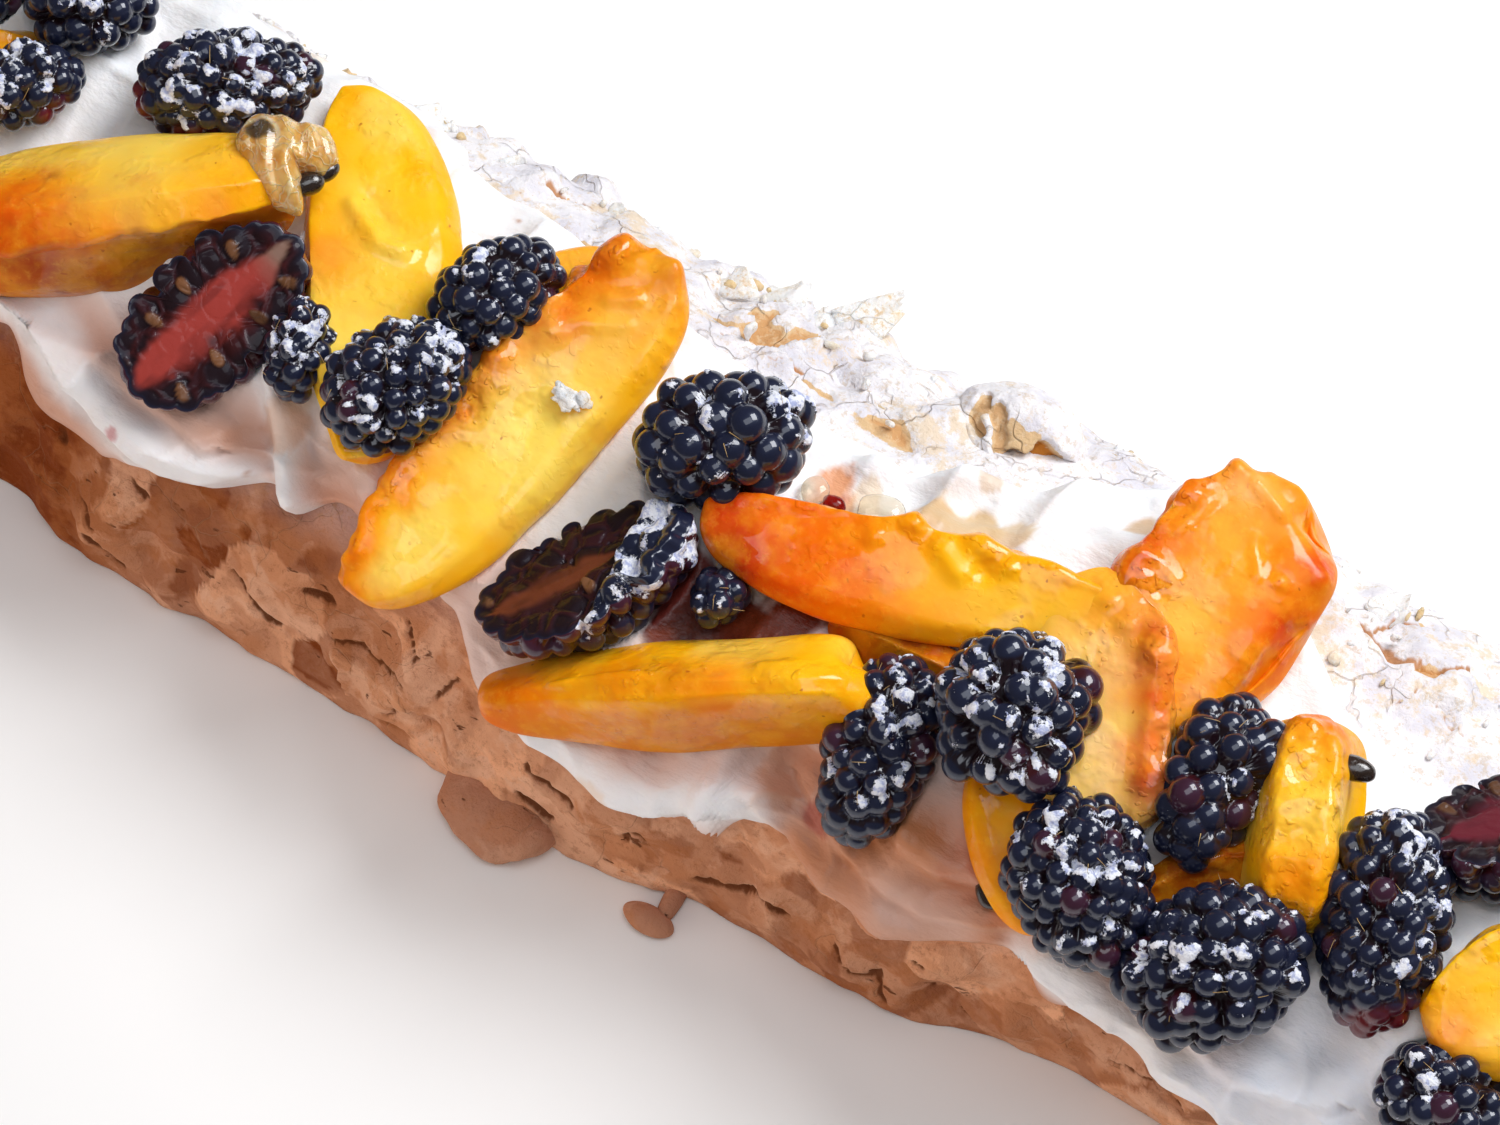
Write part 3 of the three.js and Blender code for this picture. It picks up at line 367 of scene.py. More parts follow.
def cells(points, size, seed=0):
    """Distances in mm to the nearest and second nearest of one random point per lattice cell, the
    nearest one's random number, and the height in mm of a plane through it with a random lean."""
    q = points / size + 1000.5
    cell = np.floor(q).astype(np.int64)
    first = np.full(q.shape[:-1], 9.0)
    second = np.full(q.shape[:-1], 9.0)
    label = np.zeros(q.shape[:-1])
    lean = np.zeros(q.shape[:-1])
    for step in np.ndindex(3, 3, 3):
        there = cell + np.array(step) - 1
        spot = there + np.stack([hashed(there, seed + k) for k in (1, 2, 3)], axis=-1)
        distance = np.linalg.norm(q - spot, axis=-1)
        nearer = distance < first
        second = np.where(nearer, first, np.minimum(second, distance))
        own = hashed(there, seed + 4)
        turn = 2 * math.pi * hashed(there, seed + 5)
        slope = (q - spot)[..., 0] * np.cos(turn) + (q - spot)[..., 1] * np.sin(turn)
        label = np.where(nearer, own, label)
        lean = np.where(nearer, slope, lean)
        first = np.where(nearer, distance, first)
    return first * size, second * size, label, lean * size


def line_distance(points, path):
    """Distance in mm from each point to a line of places, or to the one place given."""
    spots = np.array(path, float)
    best = np.linalg.norm(points - spots[0], axis=-1)
    for a, b in zip(spots[:-1], spots[1:]):
        t = np.clip((points - a) @ (b - a) / ((b - a) @ (b - a)), 0, 1)
        best = np.minimum(best, np.linalg.norm(points - a - t[..., None] * (b - a), axis=-1))
    return best


def path_distance(x, arc, path):
    """Distance in mm, on the unrolled crust, from each point to a line of (place, angle) points."""
    spots = np.array([(px, math.radians(angle) * WALL_RADIUS) for px, angle in path])
    best = np.full(np.shape(x), 1e9)
    for (ax, ay), (bx, by) in zip(spots[:-1], spots[1:]):
        t = np.clip(((x - ax) * (bx - ax) + (arc - ay) * (by - ay)) / ((bx - ax) ** 2 + (by - ay) ** 2), 0, 1)
        best = np.minimum(best, np.hypot(x - ax - t * (bx - ax), arc - ay - t * (by - ay)))
    return best


# ---- meshes -------------------------------------------------------------------------------------
def normals_of(rings):
    """Outward unit normals of a grid of rings: its differences along and around, crossed."""
    along = np.gradient(rings, axis=0)
    around = np.roll(rings, -1, axis=1) - np.roll(rings, 1, axis=1)
    normals = unit(np.cross(along, around))
    outward = np.sum(normals * (rings - rings.mean(axis=1, keepdims=True)))
    return normals if outward > 0 else -normals


def closed_body(rings, marks=None, poles=None):
    """A closed surface from rings of points (m, n, 3), each end drawn to one pole, by default the mean
    of its end ring. Marks are numbers or colours for each point. Faces are turned outward."""
    m, n = rings.shape[:2]
    first, last = (rings[0].mean(axis=0), rings[-1].mean(axis=0)) if poles is None else poles
    points = np.concatenate([[first], rings.reshape(-1, 3), [last]])
    i, k = np.meshgrid(np.arange(m - 1), np.arange(n), indexing="ij")
    a, b = 1 + i * n + k, 1 + i * n + (k + 1) % n
    quads = np.stack([a, b, b + n, a + n], axis=-1).reshape(-1, 4)
    spokes = np.arange(n)
    turned = (spokes + 1) % n
    rim = 1 + (m - 1) * n
    fans = np.concatenate([np.stack([0 * spokes, 1 + turned, 1 + spokes], axis=-1),
                           np.stack([0 * spokes + len(points) - 1, rim + spokes, rim + turned], axis=-1)])
    p = points - points.mean(axis=0)
    volume = np.sum(p[quads[:, 0]] * np.cross(p[quads[:, 1]], p[quads[:, 2]]))
    volume += np.sum(p[quads[:, 0]] * np.cross(p[quads[:, 2]], p[quads[:, 3]]))
    if volume < 0:
        quads, fans = quads[:, ::-1], fans[:, ::-1]
    values = {}
    for name, mark in (marks or {}).items():
        ends = mark[0].mean(axis=0)[None], mark[-1].mean(axis=0)[None]
        values[name] = np.concatenate([ends[0], mark.reshape((m * n,) + mark.shape[2:]), ends[1]])
    return points, quads, fans, values


def make_piece(name, bodies, paint, replaced=()):
    """One object from closed bodies, in metres, that rides on the root body."""
    starts = np.cumsum([0] + [len(body[0]) for body in bodies])
    points = np.concatenate([body[0] for body in bodies]) * MM
    quads = np.concatenate([body[1] + start for body, start in zip(bodies, starts)])
    fans = np.concatenate([body[2] + start for body, start in zip(bodies, starts)])
    mesh = bpy.data.meshes.new(name)
    mesh.vertices.add(len(points))
    mesh.vertices.foreach_set("co", points.ravel())
    corners = np.concatenate([quads.ravel(), fans.ravel()]).astype(np.int32)
    mesh.loops.add(len(corners))
    mesh.loops.foreach_set("vertex_index", corners)
    mesh.polygons.add(len(quads) + len(fans))
    loop_starts = np.concatenate([np.arange(len(quads)) * 4, len(quads) * 4 + np.arange(len(fans)) * 3])
    mesh.polygons.foreach_set("loop_start", loop_starts.astype(np.int32))
    for mark in bodies[0][3]:
        values = np.concatenate([body[3][mark] for body in bodies])
        if values.ndim == 1:
            mesh.attributes.new(mark, "FLOAT", "POINT").data.foreach_set("value", values.astype(np.float32))
        else:
            colours = np.concatenate([values, np.ones((len(values), 1))], axis=1).astype(np.float32)
            mesh.attributes.new(mark, "FLOAT_COLOR", "POINT").data.foreach_set("color", colours.ravel())
    mesh.update(calc_edges=True)
    mesh.validate()
    mesh.shade_smooth()
    mesh.materials.append(paint)
    piece = bpy.data.objects.new(name, mesh)
    bpy.context.scene.collection.objects.link(piece)
    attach(piece, "root")
    if replaced:
        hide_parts(*replaced)
    return piece


def sphere_grid(rings, around):
    """Unit directions on rings of even angle about +X, without its poles."""
    theta, phi = np.meshgrid(math.pi * (np.arange(rings) + 1) / (rings + 1),
                             2 * math.pi * np.arange(around) / around, indexing="ij")
    return np.stack([np.cos(theta), np.sin(theta) * np.cos(phi), np.sin(theta) * np.sin(phi)], axis=-1)


def laid_axes(start, end, roll):
    """Axes and middle of a body laid from start to end: its X along that line, its Y turned by roll
    degrees from level on the right of the line toward upward."""
    start, end = np.array(start, float), np.array(end, float)
    along = unit(end - start)
    right = unit(np.cross(along, (0, 0, 1)))
    above = np.cross(right, along)
    second = right * math.cos(math.radians(roll)) + above * math.sin(math.radians(roll))
    return np.stack([along, second, np.cross(along, second)]), (start + end) / 2, np.linalg.norm(end - start)


def lump(centre, radii, rings, around, rough, seed, grain=3.0):
    """A lumpy ellipsoid: its radius in each direction is scaled by 1 + rough times layered noise."""
    grid = sphere_grid(rings, around)
    surface = grid * np.array(radii, float)
    scale = 1 + rough * layered(surface + seed * 31, grain, 2, seed)
    return np.array(centre, float) + surface * scale[..., None]


# ---- material writing ---------------------------------------------------------------------------
def rgb(red, green, blue):
    """Linear colour of an sRGB one given in 0 to 255."""
    def linear(c):
        return c / 255 / 12.92 if c <= 10 else ((c / 255 + 0.055) / 1.055) ** 2.4
    return linear(red), linear(green), linear(blue)


class Value:
    """A socket in a material. Arithmetic on it adds its Math nodes."""

    def __init__(self, paint, socket):
        self.paint = paint
        self.socket = socket

    def math(self, operation, first, second):
        """The value of a new Math node."""
        return self.paint.node("ShaderNodeMath", {"operation": operation}, {0: first, 1: second})

    def __add__(self, other):
        return self.math("ADD", self, other)

    __radd__ = __add__

    def __sub__(self, other):
        return self.math("SUBTRACT", self, other)

    def __rsub__(self, other):
        return self.math("SUBTRACT", other, self)

    def __mul__(self, other):
        return self.math("MULTIPLY", self, other)

    __rmul__ = __mul__


class Paint:
    """A material with one Principled surface. Constants are set on its sockets."""

    def __init__(self, name, **constants):
        self.material = bpy.data.materials.new(name)
        self.material.use_nodes = True
        self.tree = self.material.node_tree
        self.surface = self.tree.nodes["Principled BSDF"]
        for socket, value in constants.items():
            self.surface.inputs[socket.replace("_", " ")].default_value = value
        self.place = self.node("ShaderNodeTexCoord", output="Object")

    def node(self, kind, settings=None, inputs=None, output=0):
        """Adds a node: its settings first, then the values or links of its sockets."""
        node = self.tree.nodes.new(kind)
        for name, value in (settings or {}).items():
            setattr(node, name, value)
        for name, value in (inputs or {}).items():
            self.connect(node.inputs[name], value)
        return Value(self, node.outputs[output])

    def connect(self, socket, value):
        """Links a value to a socket, or sets a constant on it; a colour of three numbers gets its alpha."""
        if isinstance(value, Value):
            self.tree.links.new(value.socket, socket)
        elif isinstance(value, tuple) and len(value) == 3 and socket.type == "RGBA":
            socket.default_value = value + (1,)
        else:
            socket.default_value = value

    def feed(self, **sockets):
        """Feeds sockets of the surface, named with _ for a space, and gives back the finished material."""
        for name, value in sockets.items():
            self.connect(self.surface.inputs[name.replace("_", " ")], value)
        return self.material

    def noise(self, size, detail=3, roughness=0.5, place=None):
        """Noise from 0 to 1 with features of that size in mm."""
        return self.node("ShaderNodeTexNoise", {}, {
            "Vector": place or self.place, "Scale": 1 / (size * MM), "Detail": detail,
            "Roughness": roughness})

    def cracks(self, size, place=None):
        """Distance to the nearest edge between random cells of that size in mm, 0 on the edge."""
        return self.node("ShaderNodeTexVoronoi", {"feature": "DISTANCE_TO_EDGE"},
                         {"Vector": place or self.place, "Scale": 1 / (size * MM)})

    def dots(self, size, place=None):
        """Distance to the nearest random point, in cells of that size in mm."""
        return self.node("ShaderNodeTexVoronoi", {},
                         {"Vector": place or self.place, "Scale": 1 / (size * MM)})

    def stretched(self, scale):
        """Object coordinates scaled on each axis."""
        return self.node("ShaderNodeMapping", {}, {"Vector": self.place, "Scale": scale})

    def warped(self, size, amount):
        """Object coordinates moved about by noise of that size, by up to that amount in mm."""
        wobble = self.node("ShaderNodeTexNoise", {},
                           {"Vector": self.place, "Scale": 1 / (size * MM)}, "Color")
        moved = self.node("ShaderNodeVectorMath", {"operation": "SCALE"},
                          {0: wobble, "Scale": 2 * amount * MM})
        return self.node("ShaderNodeVectorMath", {"operation": "ADD"}, {0: self.place, 1: moved})

    def rise(self, value, low, high):
        """The smooth step from 0 at low to 1 at high."""
        return self.node("ShaderNodeMapRange", {"interpolation_type": "SMOOTHSTEP"},
                         {"Value": value, "From Min": low, "From Max": high})

    def mark(self, name):
        """A number that the mesh carries at each point."""
        return self.node("ShaderNodeAttribute", {"attribute_name": name}, output="Fac")

    def tint(self, name):
        """A colour that the mesh carries at each point."""
        return self.node("ShaderNodeAttribute", {"attribute_name": name}, output="Color")

    def mix(self, share, first, second, mode="MIX"):
        """The first colour where share is 0, the second where it is 1."""
        return self.node("ShaderNodeMix", {"data_type": "RGBA", "blend_type": mode},
                         {0: share, 6: first, 7: second}, 2)

    def bump(self, height):
        """A normal from a height in mm."""
        return self.node("ShaderNodeBump", {}, {"Height": height, "Distance": MM, "Strength": 1.0})


def crust_paint(name="dusted_meringue", thin_and_lit=False):
    """Dusted meringue: near white with lavender and biscuit patches, amber where it is broken, browned where
    it is marked as toasted, which on the near wall is baked brown together with painted shade, with hair
    cracks, slits and a sandy grain. Thin flakes are paler, which is partly painted light, and light spreads
    further in them."""
    paint = Paint(name, Roughness=0.9, Specular_IOR_Level=0.2, Subsurface_Weight=0.6 if thin_and_lit else 0.12,
                  Subsurface_Radius=(1.0, 0.85, 0.7), Subsurface_Scale=0.003 if thin_and_lit else 0.002)
    # Painted light: the thin copy is paler than the crust, brightening flakes and crumbs that face away from
    # the lamps.
    pale = rgb(251, 248, 245) if thin_and_lit else rgb(238, 235, 237)
    dull = rgb(240, 234, 226) if thin_and_lit else rgb(219, 216, 224)
    dusted = paint.mix(paint.rise(paint.noise(7, 5, 0.6), 0.42, 0.66), pale, dull)
    dusted = paint.mix(paint.rise(paint.noise(10, 6, 0.75), 0.53, 0.63) * 0.8, dusted, rgb(228, 206, 176))
    dusted = paint.mix(paint.rise(paint.noise(1.6, 5, 0.8), 0.53, 0.62) * 0.55, dusted, rgb(208, 186, 158))
    # Painted shade with baked brown: the toasted colour darkens the near wall.
    toasted_and_shaded = paint.mix(paint.mark("tone"), rgb(126, 58, 18), rgb(240, 178, 138))
    toasted_and_shaded = paint.mix(paint.rise(paint.noise(12, 4, 0.6), 0.44, 0.56) * 0.4, toasted_and_shaded, rgb(184, 112, 62))
    patches = paint.rise(paint.noise(15, 5, 0.65, place=paint.warped(9, 9)), 0.48, 0.57) * 0.65
    toasted_and_shaded = paint.mix(patches * paint.mark("tone"), toasted_and_shaded, rgb(230, 182, 152))
    toasted_and_shaded = paint.mix(paint.rise(paint.noise(1.8, 5, 0.8), 0.52, 0.66) * 0.45, toasted_and_shaded, rgb(156, 94, 56))
    colour = paint.mix(paint.mark("toast"), dusted, toasted_and_shaded)
    hair = paint.rise(paint.cracks(9, paint.warped(6, 3)), 0.022, 0.0)
    hair = hair * paint.rise(paint.noise(13, 2), 0.48, 0.58) * (1.0 - paint.mark("toast") * 0.6)
    colour = paint.mix(hair * 0.25, colour, rgb(204, 174, 140))
    slit = paint.rise(paint.noise(2.6, 3, 0.6, place=paint.stretched((0.45, 1.0, 1.0))), 0.655, 0.70)
    slit = slit * paint.rise(paint.noise(8, 2), 0.50, 0.58) * paint.mark("toast")
    amber = paint.rise(paint.mark("amber") + (paint.noise(1.1, 5, 0.65) - 0.5) * 0.5, 0.40, 0.50)
    amber_tone = paint.mix(paint.rise(paint.mark("amber"), 0.6, 1.0), rgb(218, 184, 140), rgb(196, 124, 48))
    sandy = paint.rise(paint.noise(1.4, 5, 0.7), 0.5, 0.6) * 0.55
    amber_tone = paint.mix(sandy, amber_tone, rgb(226, 200, 164))
    colour = paint.mix(amber, colour, amber_tone)
    deep = paint.rise(paint.mark("crack") + (paint.noise(0.8, 3) - 0.5) * 0.35, 0.25, 0.75) + slit
    deep_tone = paint.mix(paint.mark("toast"), rgb(184, 124, 68), rgb(110, 58, 28))
    colour = paint.mix(deep * 0.9, colour, deep_tone)
    height = paint.noise(0.8, 4, 0.7) * 0.30 + paint.noise(2.6, 5, 0.65) * 0.6 - hair * 0.3 - slit * 0.5
    return paint.feed(Base_Color=colour, Normal=paint.bump(height))


def cream_paint():
    """Whipped cream: satin white, tan with painted shade on its near side, stained by juice where it is
    marked, with painted shade and painted light among the stains, faintly pitted.
    """
    paint = Paint("whipped_cream", Roughness=0.42, Specular_IOR_Level=0.4, Subsurface_Weight=0.2,
                  Subsurface_Radius=(1.0, 0.8, 0.65), Subsurface_Scale=0.002)
    soft = paint.mix(paint.rise(paint.noise(12, 3), 0.4, 0.65), rgb(243, 244, 247), rgb(238, 236, 236))
    # Painted shade: a tan tint where the near side is marked as shaded.
    soft = paint.mix(paint.mark("shade"), soft, rgb(198, 130, 88))
    # The stain tint also carries painted shade and painted light.
    colour = paint.mix(1.0, soft, paint.tint("stain"), "MULTIPLY")
    drawn = paint.noise(1.8, 4, 0.6, place=paint.stretched((0.35, 1.0, 1.0)))
    height = paint.noise(1.1, 4, 0.6) * 0.12 + paint.noise(4, 3) * 0.35 + drawn * 0.35
    return paint.feed(Base_Color=colour, Normal=paint.bump(height))


def berry_paint():
    """Bramble skin: blue-black with a broad blue sheen under a clear gloss, plum in the dips, with crisp
    clumps of icing sugar; the cut face of a halved berry takes its own marked colour."""
    paint = Paint("bramble_berry", Coat_Roughness=0.045, Specular_IOR_Level=0.22,
                  Specular_Tint=(0.62, 0.73, 1.0, 1.0))
    skin = paint.mix(paint.noise(4, 2), (0.006, 0.008, 0.022), (0.013, 0.016, 0.042))
    skin = paint.mix(paint.rise(paint.mark("dip"), 0.35, 0.9), skin, (0.010, 0.003, 0.005))
    skin = paint.mix(paint.mark("ripe"), skin, (0.110, 0.008, 0.010))
    colour = paint.mix(paint.mark("inside"), skin, paint.tint("flesh"))
    sugar = paint.rise(paint.mark("sugar") + (paint.noise(0.5, 5, 0.75) - 0.5) * 1.1, 0.52, 0.56)
    thick = paint.rise(paint.noise(0.9, 4, 0.6), 0.36, 0.56)
    sugar_tone = paint.mix(thick, rgb(176, 184, 220), rgb(244, 246, 253))
    colour = paint.mix(sugar, colour, sugar_tone)
    roughness = paint.noise(1.6, 3) * 0.16 + 0.26 + sugar * 0.45 + paint.mark("inside") * 0.25
    height = paint.noise(1.2, 3) * 0.08 + sugar * (paint.noise(0.4, 3, 0.7) * 0.4 + 0.15)
    gloss = 1.0 - sugar - paint.mark("inside") * 0.8
    return paint.feed(Base_Color=colour, Roughness=roughness, Coat_Weight=gloss, Normal=paint.bump(height))


def peach_paint():
    """Wet peach flesh: the marked flesh colour with cloudy paler and deeper patches, brown specks, and a
    glossy coat of juice that beads up in wet patches and where it is marked as torn."""
    paint = Paint("peach_flesh", Coat_Roughness=0.04, Subsurface_Weight=0.3,
                  Subsurface_Radius=(1.0, 0.45, 0.08), Subsurface_Scale=0.004, Specular_IOR_Level=0.1)
    colour = paint.tint("flesh")
    cloud = paint.rise(paint.noise(6, 4, 0.6), 0.40, 0.68)
    colour = paint.mix(cloud * 0.22, colour, rgb(255, 202, 36))
    warm = paint.rise(paint.noise(9, 3, 0.6), 0.52, 0.72)
    colour = paint.mix(warm * 0.22, colour, rgb(244, 134, 8))
    fibres = paint.rise(paint.noise(1.6, 4, 0.7), 0.5, 0.75)
    colour = paint.mix(fibres * 0.18, colour, rgb(255, 206, 70))
    specks = paint.rise(paint.dots(3.0, paint.warped(2, 1)), 0.12, 0.04)
    specks = specks * paint.rise(paint.noise(6, 2), 0.45, 0.6)
    colour = paint.mix(specks * 0.7, colour, rgb(168, 74, 8))
    wet = paint.rise(paint.noise(8, 3), 0.46, 0.58)
    beads = (paint.mark("torn") * 0.9 + wet * 0.3) * paint.noise(1.8, 1, 0.3)
    drops = paint.rise(paint.noise(1.3, 1, 0.4), 0.60, 0.70)
    beads = beads + drops * (paint.mark("torn") * 0.22 + wet * 0.05)
    height = beads + paint.noise(5, 2, 0.4) * 0.2 + paint.noise(0.7, 2) * 0.02
    return paint.feed(Base_Color=colour, Coat_Weight=wet * 0.55 + paint.mark("torn") * 0.4 + 0.06,
                      Roughness=0.46 - wet * 0.12, Normal=paint.bump(height))


def pulp_paint():
    """Passion-fruit pulp: cloudy amber jelly with darker veins, a dark seed and pale skin lines."""
    paint = Paint("passionfruit_pulp", Roughness=0.2, Coat_Weight=1.0, Coat_Roughness=0.04, IOR=1.36,
                  Transmission_Weight=0.3, Subsurface_Weight=0.4, Subsurface_Radius=(1.0, 0.6, 0.2),
                  Subsurface_Scale=0.004)
    veins = paint.rise(paint.cracks(2.6, paint.warped(4, 4)), 0.10, 0.0)
    colour = paint.mix(paint.rise(paint.noise(3.5, 3), 0.4, 0.62), rgb(250, 206, 124), rgb(226, 166, 76))
    colour = paint.mix(veins * 0.55, colour, rgb(255, 240, 198))
    colour = paint.mix(paint.mark("seed"), colour, (0.022, 0.018, 0.012))
    colour = paint.mix(paint.mark("skin") * 0.8, colour, rgb(226, 214, 178))
    return paint.feed(Base_Color=colour, Normal=paint.bump(paint.noise(1.6, 1) * 0.4 + veins * 0.15))


def juice_paint(name="clear_juice", colours=((0.97, 0.94, 0.86), (0.97, 0.88, 0.70))):
    """Clear juice in beads."""
    paint = Paint(name, Roughness=0.05, IOR=1.2, Transmission_Weight=0.8, Coat_Weight=0.5,
                  Coat_Roughness=0.02)
    colour = paint.mix(paint.noise(3, 2), *colours)
    return paint.feed(Base_Color=colour, Normal=paint.bump(paint.noise(1.4, 2) * 0.2))


def seed_paint():
    """Black passion-fruit seeds, faintly pitted."""
    paint = Paint("fruit_seed", Coat_Weight=0.8, Coat_Roughness=0.08)
    colour = paint.mix(paint.noise(1.2, 3), (0.010, 0.008, 0.007), (0.035, 0.018, 0.012))
    return paint.feed(Base_Color=colour, Roughness=paint.noise(1.0, 2) * 0.2 + 0.12,
                      Normal=paint.bump(paint.noise(0.5, 2) * 0.12))


def hair_paint():
    """The dry styles that are left on bramble berries: pale straw."""
    paint = Paint("berry_hair", Roughness=0.5)
    colour = paint.mix(paint.noise(2, 2), rgb(206, 178, 120), rgb(150, 112, 70))
    return paint.feed(Base_Color=colour)


# ---- the meringue log ---------------------------------------------------------------------------
def end_taper(x):
    """How full the log is at a place along it: a superellipse that closes at both ends."""
    return np.maximum(0, 1 - np.abs(x / LOG_HALF) ** END_SHARPNESS) ** END_ROUND


def log_surface(x, angle, out=0.0):
    """The smooth log: angle 0 is its far foot, pi its near foot, on a superellipse section, moved out
    along (cos, sin) of the angle."""
    across, up = np.cos(angle), np.abs(np.sin(angle))
    foot = np.where(across > 0, far_foot(x), near_foot(x))
    y = np.sign(across) * foot * end_taper(x) * np.abs(across) ** (2 / SIDEWAYS)
    z = LOG_HEIGHT * end_taper(x) ** END_DROOP * up ** (2 / UPWARD)
    return np.stack([x + 0 * angle, y + out * across, z + out * np.sin(angle)], axis=-1)


def bare_share(x, angle, margin=5, ramp=12):
    """1 where the crust is clear of the cream, 0 under it."""
    degrees = np.degrees(angle)
    far = np.minimum(np.minimum(cream_far(x - 6), cream_far(x + 6)), cream_far(x)) - degrees
    near = degrees - np.maximum(np.maximum(cream_near(x - 6), cream_near(x + 6)), cream_near(x))
    return smooth((np.maximum(far, near) - margin) / ramp)


def broad_relief(x, angle):
    """The large lumps of the crust: three crossed waves, gone under the cream and at the foot."""
    waves = (np.sin(0.17 * x + 2.1 * np.sin(2.3 * angle)) * np.sin(3.7 * angle + 0.06 * x)
             + 0.7 * np.sin(0.39 * x - 2 * angle) * np.sin(6.1 * angle + 1.7 + 0.1 * x)
             + 0.5 * np.sin(0.71 * x + 1.3) * np.sin(4.9 * angle + 0.4 - 0.13 * x))
    return RELIEF * waves * bare_share(x, angle) * smooth(np.sin(angle) * 5)


def crack_marks(x, angle, points):
    """How deep the listed cracks are at each point, in mm, with lines that wander a little, and how
    far each point is inside a listed hollow, from 0 to 1."""
    arc = angle * WALL_RADIUS + 0.8 * noise(points, 5, 91) + 0.6 * layered(points, 1.8, 2, 94)
    place = x + 0.8 * noise(points, 5, 92) + 0.6 * layered(points, 1.8, 2, 95)
    depth = np.zeros(np.shape(x))
    for width, deep, path in CRACKS:
        gap = rise(path_distance(place, arc, path), width * 0.5, width * 0.05)
        depth = np.maximum(depth, 0.8 * deep * gap)
    inside = np.zeros(np.shape(x))
    for hx, degrees, half_length, half_height in HOLLOWS:
        across = (place - hx) / half_length
        up = (arc - math.radians(degrees) * WALL_RADIUS) / half_height
        inside = np.maximum(inside, rise(np.hypot(across, up) + 0.3 * noise(points, 2.2, 93), 1.1, 0.8))
    return depth, inside


def crust_body():
    """The log's surface moved out by its broad relief, crazed and leaning plates, scales and fine lumps,
    and in by seams, cracks and hollows; its foot is ragged and its sole flat."""
    ends = LOG_HALF - np.geomspace(0.02, 5.0, 14)
    x = np.concatenate([-ends, np.linspace(-159.5, 159.5, 530), ends[::-1]])
    degrees = np.concatenate([np.linspace(0, 82, 82, endpoint=False),
                              np.linspace(82, 112, 8, endpoint=False), np.linspace(112, 180, 78)])
    grid_x, angle = np.meshgrid(x, np.radians(degrees), indexing="ij")
    plain = log_surface(grid_x, angle)
    bare = bare_share(grid_x, angle, 1, 8)
    lower = smooth(np.sin(angle) * 5)
    near = rise(np.degrees(angle), 95, 125)
    flow = plain + 2.2 * np.stack([noise(plain, 6, k) for k in (1, 2, 3)], axis=-1)
    nearest, second, label, lean = cells(flow, PLATE, 5)
    seam = rise(second - nearest, 1.0, 0.1) * rise(noise(plain, 22, 8), -0.1, 0.3)
    plates = label - 0.5 + 0.12 * lean
    _, _, small_label, small_lean = cells(flow * np.array([1, 1.15, 1.15]), SCALE, 15)
    flaky = rise(noise(plain, 15, 21), 0.0, 0.4)
    scales = (0.8 * (small_label - 0.5) + 0.20 * small_lean) * flaky
    fine = 0.40 * layered(plain, 7, 2, 31) + 0.16 * layered(plain, 1.8, 2, 41)
    out = blend(plates + 0.6 * scales, 0.4 * plates + 0.3 * scales, near) + fine * blend(0.8, 0.9, near)
    out = out - seam * blend(0.45, 0.2, near)
    depth, hollow = crack_marks(grid_x, angle, plain)
    out = (out * lower - depth - HOLLOW_DEPTH * hollow) * bare + broad_relief(grid_x, angle)
    points = log_surface(grid_x, angle, out)
    ragged = (1.1 * layered(plain, 9, 3, 51) + 0.5) * rise(np.abs(np.cos(angle)), 0.55, 0.95)
    points[..., 1] += np.sign(np.cos(angle)) * ragged * end_taper(grid_x)
    points[..., 2] = np.maximum(points[..., 2], 0) * rise(np.sin(angle), -0.001, 0.02)
    shares = np.linspace(0, 1, 10)[1:-1]
    sole = blend(points[:, -1:], points[:, :1], shares[None, :, None])
    crack = np.clip(depth / 0.9, 0, 1) * bare + 0.3 * seam * bare * (1 - near)
    # The near wall, and a little of the far foot, are marked as toasted: baked brown, and on the near wall
    # painted shade too.
    toast = np.clip(rise(np.degrees(angle), 104, 140) + 0.35 * rise(np.degrees(angle), 14, 2), 0, 1)
    ledge = rise(noise(plain, 5, 22), 0.15, 0.5) * flaky * (1 - near)
    # The tone falls toward the left end, darkening the toasted wall there.
    dark = 0.9 * rise(-grid_x, 84, 104) + 0.3 * rise(-grid_x, 30, 60)
    tone = np.clip(0.62 + 0.8 * (label - 0.5) + 0.4 * (small_label - 0.5) - dark, 0, 1)
    marks = {"toast": toast, "amber": np.clip(0.8 * hollow + 0.40 * ledge, 0, 1) * bare,
             "crack": np.clip(crack, 0, 1), "tone": tone}
    for name, mark in marks.items():
        marks[name] = np.concatenate([mark, np.broadcast_to(mark[:, -1:], sole.shape[:2])], axis=1)
    poles = [np.array([-LOG_HALF, 0, 0.0]), np.array([LOG_HALF, 0, 0.0])]
    return closed_body(np.concatenate([points, sole], axis=1), marks, poles)


def plain_marks(shape, toast=0.0, amber=0.0, crack=0.0):
    """The same crust marks all over a small body."""
    return {"toast": np.full(shape, toast), "amber": np.full(shape, amber), "crack": np.full(shape, crack),
            "tone": np.full(shape, 0.4)}


